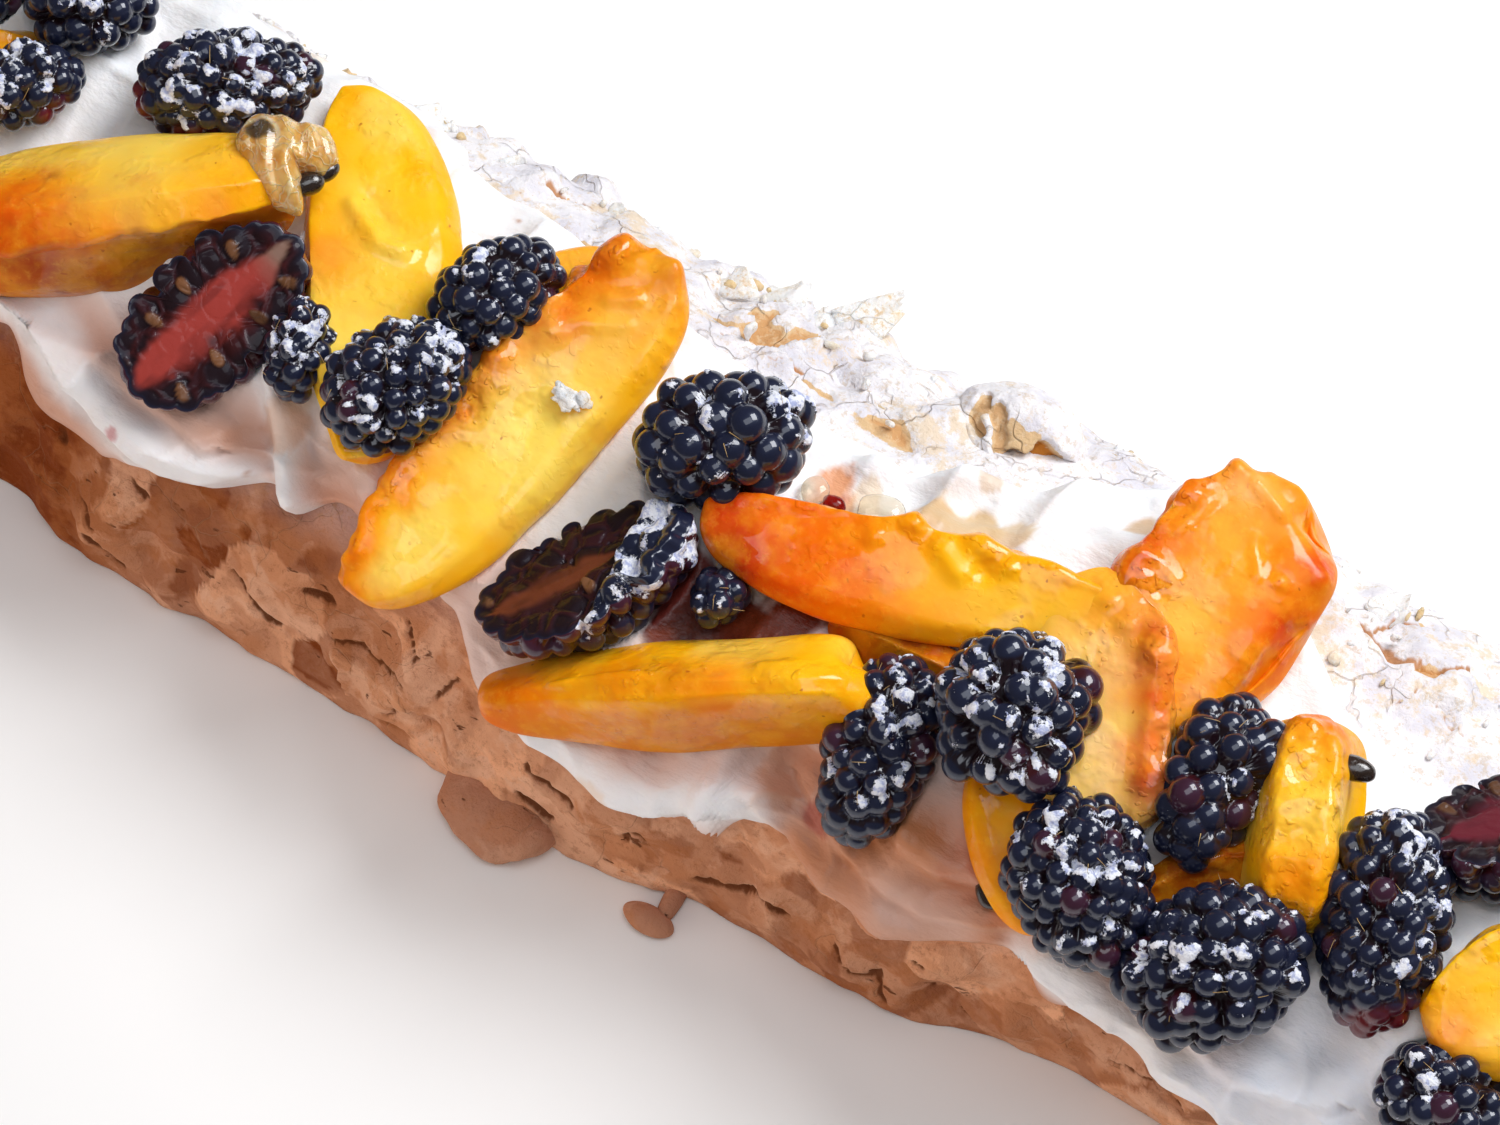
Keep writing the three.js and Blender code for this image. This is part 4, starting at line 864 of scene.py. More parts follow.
def flake_body(x, degrees, width, height, turn, lean, seed):
    """A thin flake: loops up one side, over its ragged top and down the other, at places across its
    width, from a foot sunk 3 mm; narrower toward the top, curled, and leaned over to lie on the crust."""
    u, phi = np.meshgrid(-np.cos(math.pi * np.linspace(0, 1, 42))[1:-1],
                         2 * math.pi * np.arange(30) / 30, indexing="ij")
    full = (1 - np.abs(u) ** 5) ** 0.4
    spots = np.stack([u * width, 0 * u, np.full_like(u, 17.0 * seed)], axis=-1)
    ragged = 0.85 + 0.30 * noise(spots, 4, seed) + 0.15 * noise(spots, 1.5, seed + 3)
    top = height * ragged * (1 - 0.3 * np.abs(u) ** 3)
    v = (0.5 + 0.5 * np.sin(phi)) * full + 0.35 * (1 - full)
    z = v * (top + FLAKE_SUNK) - FLAKE_SUNK
    spots = spots + np.stack([0 * u, 0 * u, z], axis=-1)
    half = width / 2 * blend(1.0, 0.4, v ** 1.3)
    thick = blend(0.9, 0.4, v) * full * np.cos(phi) + 0.15 * noise(spots, 1.6, seed + 4)
    curl = 1.5 * np.sin(2.0 * u + seed) + 0.8 * noise(spots, 4, seed + 2)
    local = np.stack([u * half, thick + curl * (0.3 + 0.7 * v), z], axis=-1)
    tilt, head = math.radians(lean), math.radians(turn)
    y = local[..., 1] * math.cos(tilt) + local[..., 2] * math.sin(tilt)
    z = local[..., 2] * math.cos(tilt) - local[..., 1] * math.sin(tilt)
    world = np.stack([local[..., 0] * math.cos(head) - y * math.sin(head),
                      local[..., 0] * math.sin(head) + y * math.cos(head), z], axis=-1)
    world = world + log_surface(np.array(float(x)), np.array(math.radians(degrees)))
    return closed_body(world, plain_marks(world.shape[:2], amber=0.2 + 0.2 * (seed % 3 == 0)))


def blister_body():
    """A blister of crust, broken on its near side: an ellipsoid with two amber creases, a flat tan facet
    and an amber hole pressed into it."""
    grid = sphere_grid(120, 200)
    centre = np.array(BLISTER["centre"], float)
    surface = grid * np.array(BLISTER["radii"], float)
    direction = unit(surface)
    reach = np.linalg.norm(surface, axis=-1) - 0.1 + 0.5 * layered(surface, 8, 3, 61)
    reach = reach + 0.22 * layered(surface, 2, 2, 62)
    out = unit(np.array([0.10, -0.36, 0.92]))
    cut = (np.array(BLISTER_FACET) - centre) @ out - 0.8
    facing = direction @ out
    flat = np.where(facing > 0.3, cut / np.maximum(facing, 0.3), 99) + 0.15 * noise(surface, 1.5, 67)
    facet = rise(reach - flat, 0.0, 0.3)
    reach = np.minimum(reach, flat)
    points = centre + direction * reach[..., None]
    ragged = 0.55 * noise(surface, 2.2, 64) + 0.3 * noise(surface, 0.9, 65)
    crease = rise(np.minimum(*[line_distance(points, path) for path in BLISTER_CREASES]) + ragged, 1.7, 1.1)
    hole = rise(line_distance(points, BLISTER_HOLE) + ragged, 2.3, 1.8)
    points = centre + direction * (reach - 1.2 * crease - 2.8 * hole)[..., None]
    marks = plain_marks(points.shape[:2])
    marks["amber"] = np.maximum(np.maximum(0.75 * crease, hole), 0.55 * facet)
    marks["crack"] = 0.25 * hole
    return closed_body(points, marks)


def foot_blob(shape, seed, rough=0.12):
    """A flat-bottomed lump of baked meringue beside the foot."""
    points = lump(shape["centre"], shape["radii"], 30, 48, rough, seed, 5.0)
    points[..., 2] = np.maximum(points[..., 2], 0)
    # The dribble and crumbs at the near foot take the toasted brown, partly painted shade.
    return closed_body(points, plain_marks(points.shape[:2], toast=0.95, crack=0.12))


def crumb_bodies():
    """Crumbs of crust on the bare far shoulder: small angular lumps at random places."""
    random = np.random.default_rng(11)
    bodies = []
    for number in range(CRUMBS):
        x = random.uniform(-CRUMB_SPREAD, CRUMB_SPREAD)
        degrees = random.uniform(CRUMB_LOWEST, float(cream_far(x)) - CRUMB_CLEAR)
        size = random.uniform(0.2, 1.0) ** 2 * 1.1 + 0.25
        centre = log_surface(np.array(x), np.array(math.radians(degrees)), 0.5)
        radii = size * random.uniform(0.35, 1.2, 3)
        points = lump(centre, radii, 5, 7, 0.5, number, 0.9)
        bodies.append(closed_body(points, plain_marks(points.shape[:2], amber=random.choice([0, 0.3, 0.6]))))
    return bodies


# ---- the whipped cream --------------------------------------------------------------------------
# Ridges left by the spoon: height, reach on the crown side, reach on the outer side, line of
# (place, angle) points.
SWOOSHES = [
    (5.6, 4.8, 1.3, [(-118, 121), (-104, 122), (-97, 125), (-87, 131), (-75, 133), (-64, 131)]),
    (2.4, 2.6, 1.2, [(-80, 138), (-70, 139), (-63, 137)]),
    (2.6, 3.0, 1.6, [(-92, 119), (-80, 122), (-70, 124)]),
    (4.2, 2.8, 1.8, [(-66, 108), (-62, 116), (-58, 124), (-54, 131)]),
    (2.4, 3.0, 1.8, [(-50, 112), (-46, 118), (-42, 122)]),
    (4.8, 5.2, 1.4, [(-12, 139), (0, 143), (12, 144), (24, 138)]),
    (2.6, 3.6, 1.4, [(27, 134), (36, 142), (50, 145), (62, 140)]),
    (2.0, 2.4, 1.4, [(30, 126), (40, 133), (54, 137), (66, 134)]),
    (2.0, 2.4, 1.4, [(40, 122), (54, 128), (66, 128)]),
    (4.6, 6.0, 1.8, [(72, 140), (82, 144), (94, 148), (108, 147), (122, 142), (136, 132)]),
    (2.4, 4.0, 2.0, [(88, 134), (100, 138), (116, 134)]),
    (3.2, 2.4, 1.6, [(16, 80), (25, 77), (33, 74), (40, 71), (48, 66)]),
    (2.2, 2.4, 1.6, [(20, 86), (32, 84), (44, 80), (58, 76)]),
    (1.6, 2.0, 1.4, [(34, 78), (44, 75), (54, 74)]),
    (2.0, 3.0, 1.6, [(56, 60), (68, 68), (80, 75), (94, 80)]),
    (2.2, 4.0, 2.0, [(-100, 44), (-88, 42), (-76, 52), (-66, 66)]),
    (2.0, 4.0, 2.0, [(-140, 80), (-128, 72), (-112, 60)]),
    (2.0, 4.0, 2.0, [(100, 96), (116, 90), (134, 92)]),
]
# A ridge higher than this keeps its crest out of the painted shade, so the crest stays white as if lit.
HIGH_SWOOSH = 2.6
# How far the cream's far edge is drawn back at the blister, in degrees, and where.
BLISTER_BAY = dict(place=39, width=8, drawn=12)
# Pointed drips over the near edge: place, width, extra angle.
DRIPS = [(-56, 3.2, 8), (-20, 4, 4), (19, 2.2, 9), (13, 2.5, 4), (47, 3.5, 5), (73, 4, 4), (-101, 4, 4)]
# Juice stains, with painted shade and painted light among them: place, angle, reach in mm, strength and
# colour.
STAINS_AND_PAINTED_LIGHT = [
    (12, 86, 2.6, 0.9, rgb(238, 160, 100)), (14.5, 88, 1.4, 0.7, rgb(200, 80, 40)),
    (17.5, 86, 2.6, 0.5, rgb(228, 190, 120)), (27, 84, 2.6, 0.9, rgb(222, 184, 128)),
    (33, 84, 4.4, 0.9, rgb(226, 192, 140)), (38, 82, 3.0, 0.8, rgb(230, 198, 150)),
    (31, 75, 1.8, 0.7, rgb(222, 194, 158)), (53, 71, 2.6, 0.8, rgb(222, 184, 132)),
    # The dark stains on this and the next two lines are juice deepened by painted shade: the shaded pit
    # between berry 10 and slice 06.
    (3, 106, 5.0, 1.0, rgb(110, 40, 32)), (9, 109, 7.0, 1.0, rgb(84, 28, 22)),
    (14, 112, 6.5, 1.0, rgb(94, 34, 20)), (18, 107, 7.0, 1.0, rgb(112, 46, 22)),
    (6, 118, 4.0, 0.9, rgb(140, 70, 50)), (27, 104, 4.5, 1.0, rgb(150, 74, 34)),
    (-84, 131, 1.2, 0.6, rgb(200, 70, 80)), (34, 131, 2.5, 0.6, rgb(190, 60, 70)),
    (-62, 116, 4, 0.5, rgb(220, 160, 100)), (28, 126, 5, 0.5, rgb(235, 180, 120)),
    (3, 147, 4, 0.3, rgb(240, 190, 110)), (58, 128, 5, 0.4, rgb(226, 160, 100)),
    (97, 128, 3, 0.5, rgb(230, 170, 110)), (76, 132, 3, 0.4, rgb(190, 110, 110)),
    (-95, 60, 4, 0.3, rgb(245, 200, 120)), (70, 92, 4, 0.4, rgb(240, 190, 110)),
    # This bluish white wash is painted light: the sky light on the low right of the cream.
    (112, 136, 16, 0.5, rgb(236, 242, 255)),
]
# How much painted shade, a tan tint, lies on its near side at places along the log.
SHADES = [
    (-165, 0.5), (-118, 0.8), (-104, 0.8), (-80, 0.85), (-68, 0.85), (-60, 0.8), (-44, 0.8), (-24, 0.5),
    (-4, 0.45), (22, 0.5), (32, 0.85), (46, 1.0), (82, 1.0), (94, 0.4), (106, 0.0), (165, 0.0),
]
# Places where the heap presses the cream down: middle and half-sizes.
PRESSES = [((-102, -25, 48), (17, 7, 11)), ((-90, -20, 48), (10, 7, 8))]


def cream_edges(x):
    """The cream's far and near edge angles, ragged, with drips and drawn back at the blister, drawn
    together at its ends."""
    past = np.maximum(0, np.abs(x) - (CREAM_HALF - CREAM_END)) / CREAM_END
    opening = np.sqrt(np.maximum(0, 1 - past ** 2))
    line = np.stack([x, 0 * x, 0 * x], axis=-1)
    bay = BLISTER_BAY["drawn"] * np.exp(-((x - BLISTER_BAY["place"]) / BLISTER_BAY["width"]) ** 2)
    far = cream_far(x) + 2.4 * layered(line, 9, 3, 71) + bay
    near = cream_near(x) + 2.0 * layered(line + 50, 8, 3, 72)
    for place, width, extra in DRIPS:
        near = near + extra * np.exp(-((x - place) / width) ** 2)
    return [np.radians(CREAM_MIDDLE + (edge - CREAM_MIDDLE) * opening) for edge in (far, near)]


def cream_depth(x, angle, far, near):
    """Thickness of the cream: a round lip at its edge, fuller toward the crown, with soft folds, spoon
    ridges that are steep on their outer side, and crossed wavelets."""
    inside = np.maximum(0, np.minimum(angle - far, near - angle)) * WALL_RADIUS
    lip = np.sqrt(np.maximum(0, 1 - (1 - np.minimum(1, inside / LIP_REACH)) ** 2))
    folds = np.sin(0.19 * x + 4.5 * angle + 1.4 * np.sin(0.08 * x)) + 0.6 * np.sin(0.43 * x - 3.1 * angle)
    depth = CREAM_RIM + lip * (CREAM_LIP + CREAM_CROWN * smooth(inside / CROWN_REACH) + CREAM_FOLD * folds)
    arc = angle * WALL_RADIUS
    spots = np.stack([x * 0.8, arc, 0 * arc], axis=-1)
    bent = spots + 6 * np.stack([noise(spots, 17, 81), noise(spots, 17, 82), 0 * arc], axis=-1)
    broad = (1 - np.abs(noise(bent, 12, 83))) ** 4
    narrow = (1 - np.abs(noise(bent + 30, 6, 84))) ** 4
    swirl = 2.0 * broad + narrow - 1.1 + 0.2 * layered(spots, 3, 2, 85)
    depth = depth + swirl * rise(inside, 0.5, 6)
    for height, inner, outer, path in SWOOSHES:
        line = np.array([(px, math.radians(a) * WALL_RADIUS) for px, a in path])
        crest = np.interp(x, line[:, 0], line[:, 1])
        aside = (arc - crest) * np.where(crest > math.radians(NEAR_SIDE) * WALL_RADIUS, 1, -1)
        away = path_distance(x, arc, path)
        reach = np.where(aside < 0, inner, outer)
        steepness = 3 if path[0][1] > NEAR_SIDE else 2
        crest_form = height * np.exp(-(away / reach) ** steepness)
        valley = 0.35 * height * np.exp(-((aside + 2.3 * inner) / (1.3 * inner)) ** 2)
        valley = valley * np.exp(-(away / (3 * inner)) ** 4)
        depth = depth + (crest_form - valley) * rise(inside, 0.0, 2.5)
    return np.maximum(depth, 0.3)


def topping_eggs():
    """Each topping and press as an ellipsoid: its middle, its axes and its half-sizes."""
    for one in BERRIES.values():
        axes, middle, length = laid_axes(one["start"], one["end"], 90)
        yield middle, axes, np.array([length, one["width"], one["width"]]) / 2
    for one in SLICES.values():
        axes, middle, length = laid_axes(one["start"], one["end"], one["roll"])
        middle = middle + axes[1] * (one["skin"] - one["stone"]) * 0.5
        half_width, half_depth = (one["skin"] + one["stone"]) * 0.5, (one["rim"] + one["back"]) * 0.24
        yield middle, axes, np.array([length / 2, half_width, half_depth])
    for middle, half in PRESSES:
        yield np.array(middle, float), np.eye(3), np.array(half, float)


def pressed(base, normal, depth):
    """Holds the cream below each topping that lies on it: along each normal the cream ends inside the
    topping, and beside it rises again from the topping's middle height."""
    for centre, axes, half in topping_eggs():
        start = ((base - centre) @ axes.T) / half
        step = (normal @ axes.T) / half
        pace = np.linalg.norm(step, axis=-1)
        middle = -np.sum(start * step, axis=-1) / pace ** 2
        miss = np.linalg.norm(start + step * middle[..., None], axis=-1)
        chord = np.sqrt(np.maximum(0, 1 - miss ** 2)) / pace
        limit = middle - 0.8 * chord + 1.5 * np.maximum(0, miss - 1) * half.min()
        depth = np.minimum(depth, np.maximum(limit, 0.2))
    return depth


def cream_body():
    """Rings round the cream: its outer surface from far edge to near edge, back along the log under it."""
    t = np.linspace(-1, 1, 532)[1:-1]
    x = CREAM_HALF * (t + 0.2 * t * (1 - t * t))
    far, near = cream_edges(x)
    even = np.linspace(0, 1, 176)
    shares = blend((1 - np.cos(math.pi * even)) / 2, even, 0.6)
    grid_x, share = np.meshgrid(x, shares, indexing="ij")
    angle = far[:, None] + (near - far)[:, None] * share
    depth = cream_depth(grid_x, angle, far[:, None], near[:, None])
    base = log_surface(grid_x, angle, CREAM_GAP - CREAM_LOWERED)
    normal = np.stack([0 * angle, np.cos(angle), np.sin(angle)], axis=-1)
    outer = base + normal * pressed(base, normal, depth)[..., None]
    under_x, back = np.meshgrid(x, np.linspace(1, 0, 10), indexing="ij")
    under = log_surface(under_x, far[:, None] + (near - far)[:, None] * back, -CREAM_SUNK)
    stain = np.ones(outer.shape)
    arc = angle * WALL_RADIUS
    for place, degrees, reach, strength, colour in STAINS_AND_PAINTED_LIGHT:
        away = np.hypot(grid_x - place, arc - math.radians(degrees) * WALL_RADIUS)
        patchy = strength * rise(np.exp(-(away / reach) ** 2) + 0.26 * layered(outer, 3.5, 3, 88), 0.28, 0.58)
        stain = blend(stain, np.array(colour), np.clip(patchy, 0, 1)[..., None])
    # Painted shade on the near side, kept off the crests of the high ridges as if they were lit.
    crests = [0.95 * np.exp(-(path_distance(grid_x, arc, path) / inner) ** 4)
              for height, inner, _, path in SWOOSHES if height > HIGH_SWOOSH and path[0][1] > NEAR_SIDE]
    where = np.interp(grid_x, *np.array(SHADES).T) * rise(np.degrees(angle), 104, 124)
    shade = where * (1 - np.max(crests, axis=0)) * (0.95 + 0.25 * noise(outer, 9, 89))
    marks = {"stain": np.concatenate([stain, np.ones(under.shape)], axis=1),
             "shade": np.concatenate([np.clip(shade, 0, 1), np.zeros(under.shape[:2])], axis=1)}
    middle = np.radians(CREAM_MIDDLE)
    poles = [log_surface(np.array(end * CREAM_HALF), np.array(middle), 0.5) for end in (-1.0, 1.0)]
    return closed_body(np.concatenate([outer, under], axis=1), marks, poles)


# ---- berries ------------------------------------------------------------------------------------
def druplets(length, width, size, seed):
    """Centres and radii of the druplets: a spiral of even steps over a smaller egg, a little shaken, so
    that their crowns lie on the berry's own egg."""
    random = np.random.default_rng(seed)
    area = math.pi * (length - 2 * size) * (width - 2 * size) * 0.94
    count = max(14, int(area / (1.68 * size) ** 2 / 0.87))
    k = np.arange(count) + 0.5
    along = 1 - 2 * k / count
    turn = k * math.pi * (3 - math.sqrt(5)) + seed
    radii = size * random.uniform(0.82, 1.12, count)
    ring = np.sqrt(1 - along ** 2)
    blunt = (1 - BLUNTNESS * along) * (width / 2 - size)
    centres = np.stack([along * (length / 2 - size), ring * blunt * np.cos(turn),
                        ring * blunt * np.sin(turn)], axis=-1)
    return centres + random.normal(0, 0.15 * size, centres.shape), radii, random


def star_reach(direction, centres, radii, core):
    """How far a berry reaches in each direction: where the ray leaves the druplet ball that it leaves
    last, or the core. Also says which druplet that is, and how near its crown."""
    along = direction @ centres.T
    inner = radii ** 2 - np.sum(centres ** 2, axis=1) + along ** 2
    exits = np.where(inner > 0, along + np.sqrt(np.maximum(inner, 0)), 0)
    which = np.argmax(exits, axis=-1)
    reach = np.take_along_axis(exits, which[..., None], axis=-1)[..., 0]
    crown = np.take_along_axis(inner / radii ** 2, which[..., None], axis=-1)[..., 0]
    return np.maximum(reach, core), which, np.clip(crown, 0, 1)


def sugar_mark(points, local, axes, cover, seed):
    """Icing sugar, above 0.5 where it lies: clumps of layered noise that favour the side of each druplet
    that looks up, held to the given share of the berry's upper side."""
    up = unit(axes @ np.array([0.1, 0.4, 1.0]))
    facing = unit(points) @ (axes @ np.array([0.0, 0.0, 1.0]))
    clumps = 0.7 * noise(points, 4.4, seed) + noise(points, 2.0, seed + 1)
    clumps = clumps + 0.7 * noise(points, 0.9, seed + 2)
    value = clumps + 0.4 * noise(points, 10, seed + 3) + 0.4 * local @ up + 0.3 * facing
    value = value - 3 * rise(facing, 0.15, -0.35)
    level = np.quantile(value[facing > 0.2], 1 - cover)
    return np.clip(0.5 + 0.7 * (value - level), 0, 1)


def druplet_size(one):
    """Radius of a berry's druplets in mm."""
    return one.get("druplet", 2.45 if one["width"] > 12 else 2.0)


def berry_marks(shape, **values):
    """The berry marks, zero where nothing is given."""
    marks = {name: np.zeros(shape) for name in ("sugar", "dip", "ripe", "inside")}
    marks["flesh"] = np.zeros(shape + (3,))
    marks.update(values)
    return marks


def whole_berry(one, seed):
    """A berry as one surface: its reach in every direction about its middle."""
    axes, middle, length = laid_axes(one["start"], one["end"], 90)
    half = np.array([length, one["width"], one["width"]]) / 2
    centres, radii, random = druplets(length, one["width"], druplet_size(one), seed)
    for x, y, z, radius in one.get("lobes", []):
        centres = np.concatenate([centres, [(np.array([x, y, z]) - middle) @ axes.T]])
        radii = np.append(radii, radius)
    detail = (112, 184) if one["width"] > 12 else (64, 96)
    grid = unit(sphere_grid(*detail) * half)
    core = BERRY_CORE / np.linalg.norm(grid / half, axis=-1)
    reach, which, crown = star_reach(grid, centres, radii, core)
    points = grid * reach[..., None]
    local = unit(points - centres[which])
    sugar = sugar_mark(points, local, axes, one["sugar"], seed)
    reddish = (random.random(len(radii)) < 0.05)[which] * 0.3
    world = points @ axes + middle
    for x, y, z, spread in one.get("ripe", []):
        away = np.linalg.norm(world - np.array([x, y, z]), axis=-1)
        reddish = np.maximum(reddish, rise(away + 1.2 * noise(world, 3, seed), spread + 1, spread - 2))
    points = points + grid * (0.3 * rise(sugar, 0.5, 0.62))[..., None]
    marks = berry_marks(grid.shape[:2], sugar=sugar, dip=rise(crown, 0.5, 0.1), ripe=np.clip(reddish, 0, 1))
    return closed_body(points @ axes + middle, marks)


def cut_face(share, phi, rim, seed, one, length):
    """Relief, colours, openness and sugar of a halved berry's cut: a soft-edged core with tan pips beside
    it, dark druplets with thin red walls out to the rim, and whole druplets where they reach over it."""
    random = np.random.default_rng(seed)
    half_long, half_wide, shift, tone = one["core"]
    x, z = share * rim * np.cos(phi), share * rim * np.sin(phi)
    spots = np.stack([x, z, np.full_like(x, 5.0 * seed)], axis=-1)
    core_x, core_z, middle = half_long * length, half_wide * one["width"], shift * length
    lens = np.maximum(0.05, 1 - ((x - middle) / (1.25 * core_x)) ** 2)
    core = np.abs(z) / (core_z * lens) + 0.38 * noise(spots, 3.5, seed) + 0.20 * noise(spots, 1.1, seed + 8)
    in_core = rise(core, 1.5, 0.6)
    near, second, label, _ = cells(spots, 4.2, seed + 3)
    wall = rise(second - near, 0.9, 0.2)
    colour = blend(np.array((0.012, 0.004, 0.005)), np.array((0.042, 0.008, 0.009)), (0.7 * wall)[..., None])
    halo = rise(core, 2.3, 1.1) * rise(label + 0.4 * noise(spots, 2.5, seed + 9), 0.2, 0.8)
    colour = blend(colour, np.array(tone) * 0.22, (0.8 * halo)[..., None])
    tip = rise(x / length + 0.05 * noise(spots, 2, seed + 5), 0.24, 0.38)
    pale = blend(np.array(tone), np.array(tone) * 0.4 + np.array((0.10, 0.12, 0.09)), tip[..., None])
    streaks = 0.6 * rise(noise(spots * np.array([0.35, 1, 1]), 1.4, seed + 6), -0.1, 0.6)
    pale = blend(pale, np.array(tone) * 0.45, streaks[..., None])
    colour = blend(colour, pale, in_core[..., None])
    dome = np.sqrt(np.maximum(0, 1 - (near / CELL_REACH) ** 2))
    bumps = 0.35 * wall + 0.9 * (dome - 0.6) + 0.18 * noise(spots, 1.6, seed + 7)
    relief = bumps * (1 - 0.85 * in_core)
    for number in range(one["pips"]):
        row = 1 if number % 2 else -1
        place = -0.85 + 1.7 * (number + random.uniform(-0.2, 0.2)) / max(1, one["pips"] - 1)
        head = row * math.pi / 2 - 0.7 * place * row
        dx = x - middle - core_x * place * 1.1
        dz = z - row * (core_z * (1.3 - 0.5 * place ** 2) + random.uniform(0.9, 1.7))
        a = (dx * math.cos(head) + dz * math.sin(head)) / 1.6
        b = (dz * math.cos(head) - dx * math.sin(head)) / (0.85 + 0.25 * a)
        pip = rise(np.hypot(a, b), 1.1, 0.75)
        colour = blend(colour, np.array((0.20, 0.085, 0.034)) * random.uniform(0.35, 1.0), pip[..., None])
        relief = relief + 0.45 * pip
    border = one.get("over", 99) + 1.2 * noise(spots, 4, seed + 20)
    beyond = 0.75 * x + 0.66 * z - border
    over = rise(beyond, -0.4, 0.6)
    near, second, _, _ = cells(spots, 4.1, seed + 21)
    dome = np.sqrt(np.maximum(0, 1 - (near / CELL_REACH) ** 2))
    relief = blend(relief, 0.4 + 1.9 * dome, over)
    clumps = 0.7 + 0.8 * noise(spots, 3.2, seed + 22) + 0.9 * noise(spots, 1.5, seed + 23)
    sugar = over * rise(beyond, 6.5, 4.5) * np.clip(0.25 + 0.5 * clumps, 0, 1)
    rim_dark = rise(share, 0.86, 0.97)
    colour = blend(colour, np.array((0.010, 0.006, 0.012)), rim_dark[..., None])
    return relief * rise(share, 1.0, 0.9), colour, rise(share, 1.0, 0.955) * (1 - over), sugar


def halved_berry(one, seed):
    """A halved berry: rings from the middle of its cut face out to the rim, then down over the druplets
    to its underside. The rim is the reach at the cut, lifted so that the cut lies above the middle."""
    axes, middle, length = laid_axes(one["start"], one["end"], one["cut"])
    width = one["width"]
    half = np.array([length, width, width]) / 2
    centres, radii, _ = druplets(length, width, CUT_DRUPLET, seed)
    phi = 2 * math.pi * np.arange(200) / 200
    down = np.radians(np.linspace(0, -90, 70)[:-1])
    psi, turn = np.meshgrid(down, phi, indexing="ij")
    direction = np.stack([np.cos(psi) * np.cos(turn), np.sin(psi), np.cos(psi) * np.sin(turn)], axis=-1)
    core = BERRY_CORE / np.linalg.norm(direction / half, axis=-1)
    reach, which, crown = star_reach(direction, centres, radii, core)
    lower = direction * reach[..., None]
    lower[..., 1] = CUT_LIFT + lower[..., 1] * (width / 2 + CUT_LIFT) / (width / 2)
    rim = np.linalg.norm(lower[0][:, [0, 2]], axis=-1)
    share, turn = np.meshgrid(np.linspace(0.02, 0.985, 76), phi, indexing="ij")
    relief, colour, inside, dusted = cut_face(share, turn, rim[None, :], seed, one, length)
    upper = np.stack([share * rim * np.cos(turn), CUT_LIFT + relief, share * rim * np.sin(turn)], axis=-1)
    points = np.concatenate([upper, lower])
    sugar = sugar_mark(lower, unit(lower - centres[which]), axes, one["sugar"], seed)
    marks = berry_marks(points.shape[:2])
    marks["sugar"] = np.concatenate([dusted, sugar])
    marks["dip"] = np.concatenate([np.zeros(upper.shape[:2]), rise(crown, 0.5, 0.1)])
    marks["ripe"] = np.concatenate([np.zeros(upper.shape[:2]), 0.4 * rise(psi, -0.5, 0.0)])
    marks["inside"] = np.concatenate([inside, np.zeros(lower.shape[:2])])
    marks["flesh"] = np.concatenate([colour, np.zeros(lower.shape)])
    return closed_body(points @ axes + middle, marks)


def hair_bodies():
    """Dry styles on the whole berries: a few thin bent tubes that rise from between the druplets."""
    random = np.random.default_rng(23)
    bodies = []
    for one in [berry for berry in BERRIES.values() if "cut" not in berry]:
        axes, middle, length = laid_axes(one["start"], one["end"], 90)
        half = np.array([length / 2, one["width"] / 2, one["width"] / 2])
        for _ in range(HAIRS_EACH):
            outward = unit(random.normal(size=3) + axes @ np.array([0.0, -0.2, 1.3]))
            foot = outward * half * 0.93
            lean = unit(np.cross(outward, random.normal(size=3)))
            size = random.uniform(1.2, 2.6)
            t = np.linspace(0, 1, 6)[:, None]
            line = foot + outward * (size * 0.45 * t) + lean * (size * t ** 1.5)
            ring = 2 * math.pi * np.arange(4) / 4
            side = np.cross(outward, lean)
            wide = (HAIR * (1 - 0.6 * t))[..., None]
            round_it = np.cos(ring)[None, :, None] * outward + np.sin(ring)[None, :, None] * side
            tube = line[:, None] + wide * round_it
            bodies.append(closed_body(tube @ axes + middle))
    return bodies


# ---- peach slices -------------------------------------------------------------------------------
TINTS = {name: np.array(rgb(*tint)) for name, tint in {
    "PALE": (255, 220, 100), "YELLOW": (255, 190, 6), "GOLD": (250, 152, 2), "ORANGE": (238, 98, 1),
    "RED": (202, 36, 1), "AMBER": (216, 120, 2), "JELLY": (240, 156, 36), "BROWN": (112, 40, 8),
    "RUST": (150, 50, 2), "BLUSH": (255, 198, 118)}.items()}


def slice_section(count, lip, soft):
    """The slice's six-cornered section, (across, side), walked in even steps with its corners rounded by
    a running mean; a slice with a lip has its plus corners rounded far more, a soft one all of them."""
    corners = np.array(SLICE_SECTION, float)
    scaled = np.concatenate([corners, corners[:1]]) * np.array([2.2, 1.0])
    steps = np.concatenate([[0], np.cumsum(np.linalg.norm(np.diff(scaled, axis=0), axis=1))])
    at = np.linspace(0, steps[-1], count, endpoint=False)
    walked = np.stack([np.interp(at, steps, scaled[:, k]) for k in (0, 1)], axis=-1) / np.array([2.2, 1.0])

    def rounded(reach):
        return sum(np.roll(walked, k, axis=0) for k in range(-reach, reach + 1)) / (2 * reach + 1)
    plus = rise(walked[:, 1], -0.6, 0.4)[:, None] if lip else 0.0
    return rounded(count // 12) if soft else blend(rounded(count // 42), rounded(count // 9), plus)


def fullness(t, blunt):
    """How full a slice is from -1 to 1 along it: an ellipse at power 2, blunter above, for each end."""
    return np.sqrt(np.maximum(0, 1 - np.abs(t) ** np.where(t < 0, blunt[0], blunt[1])))


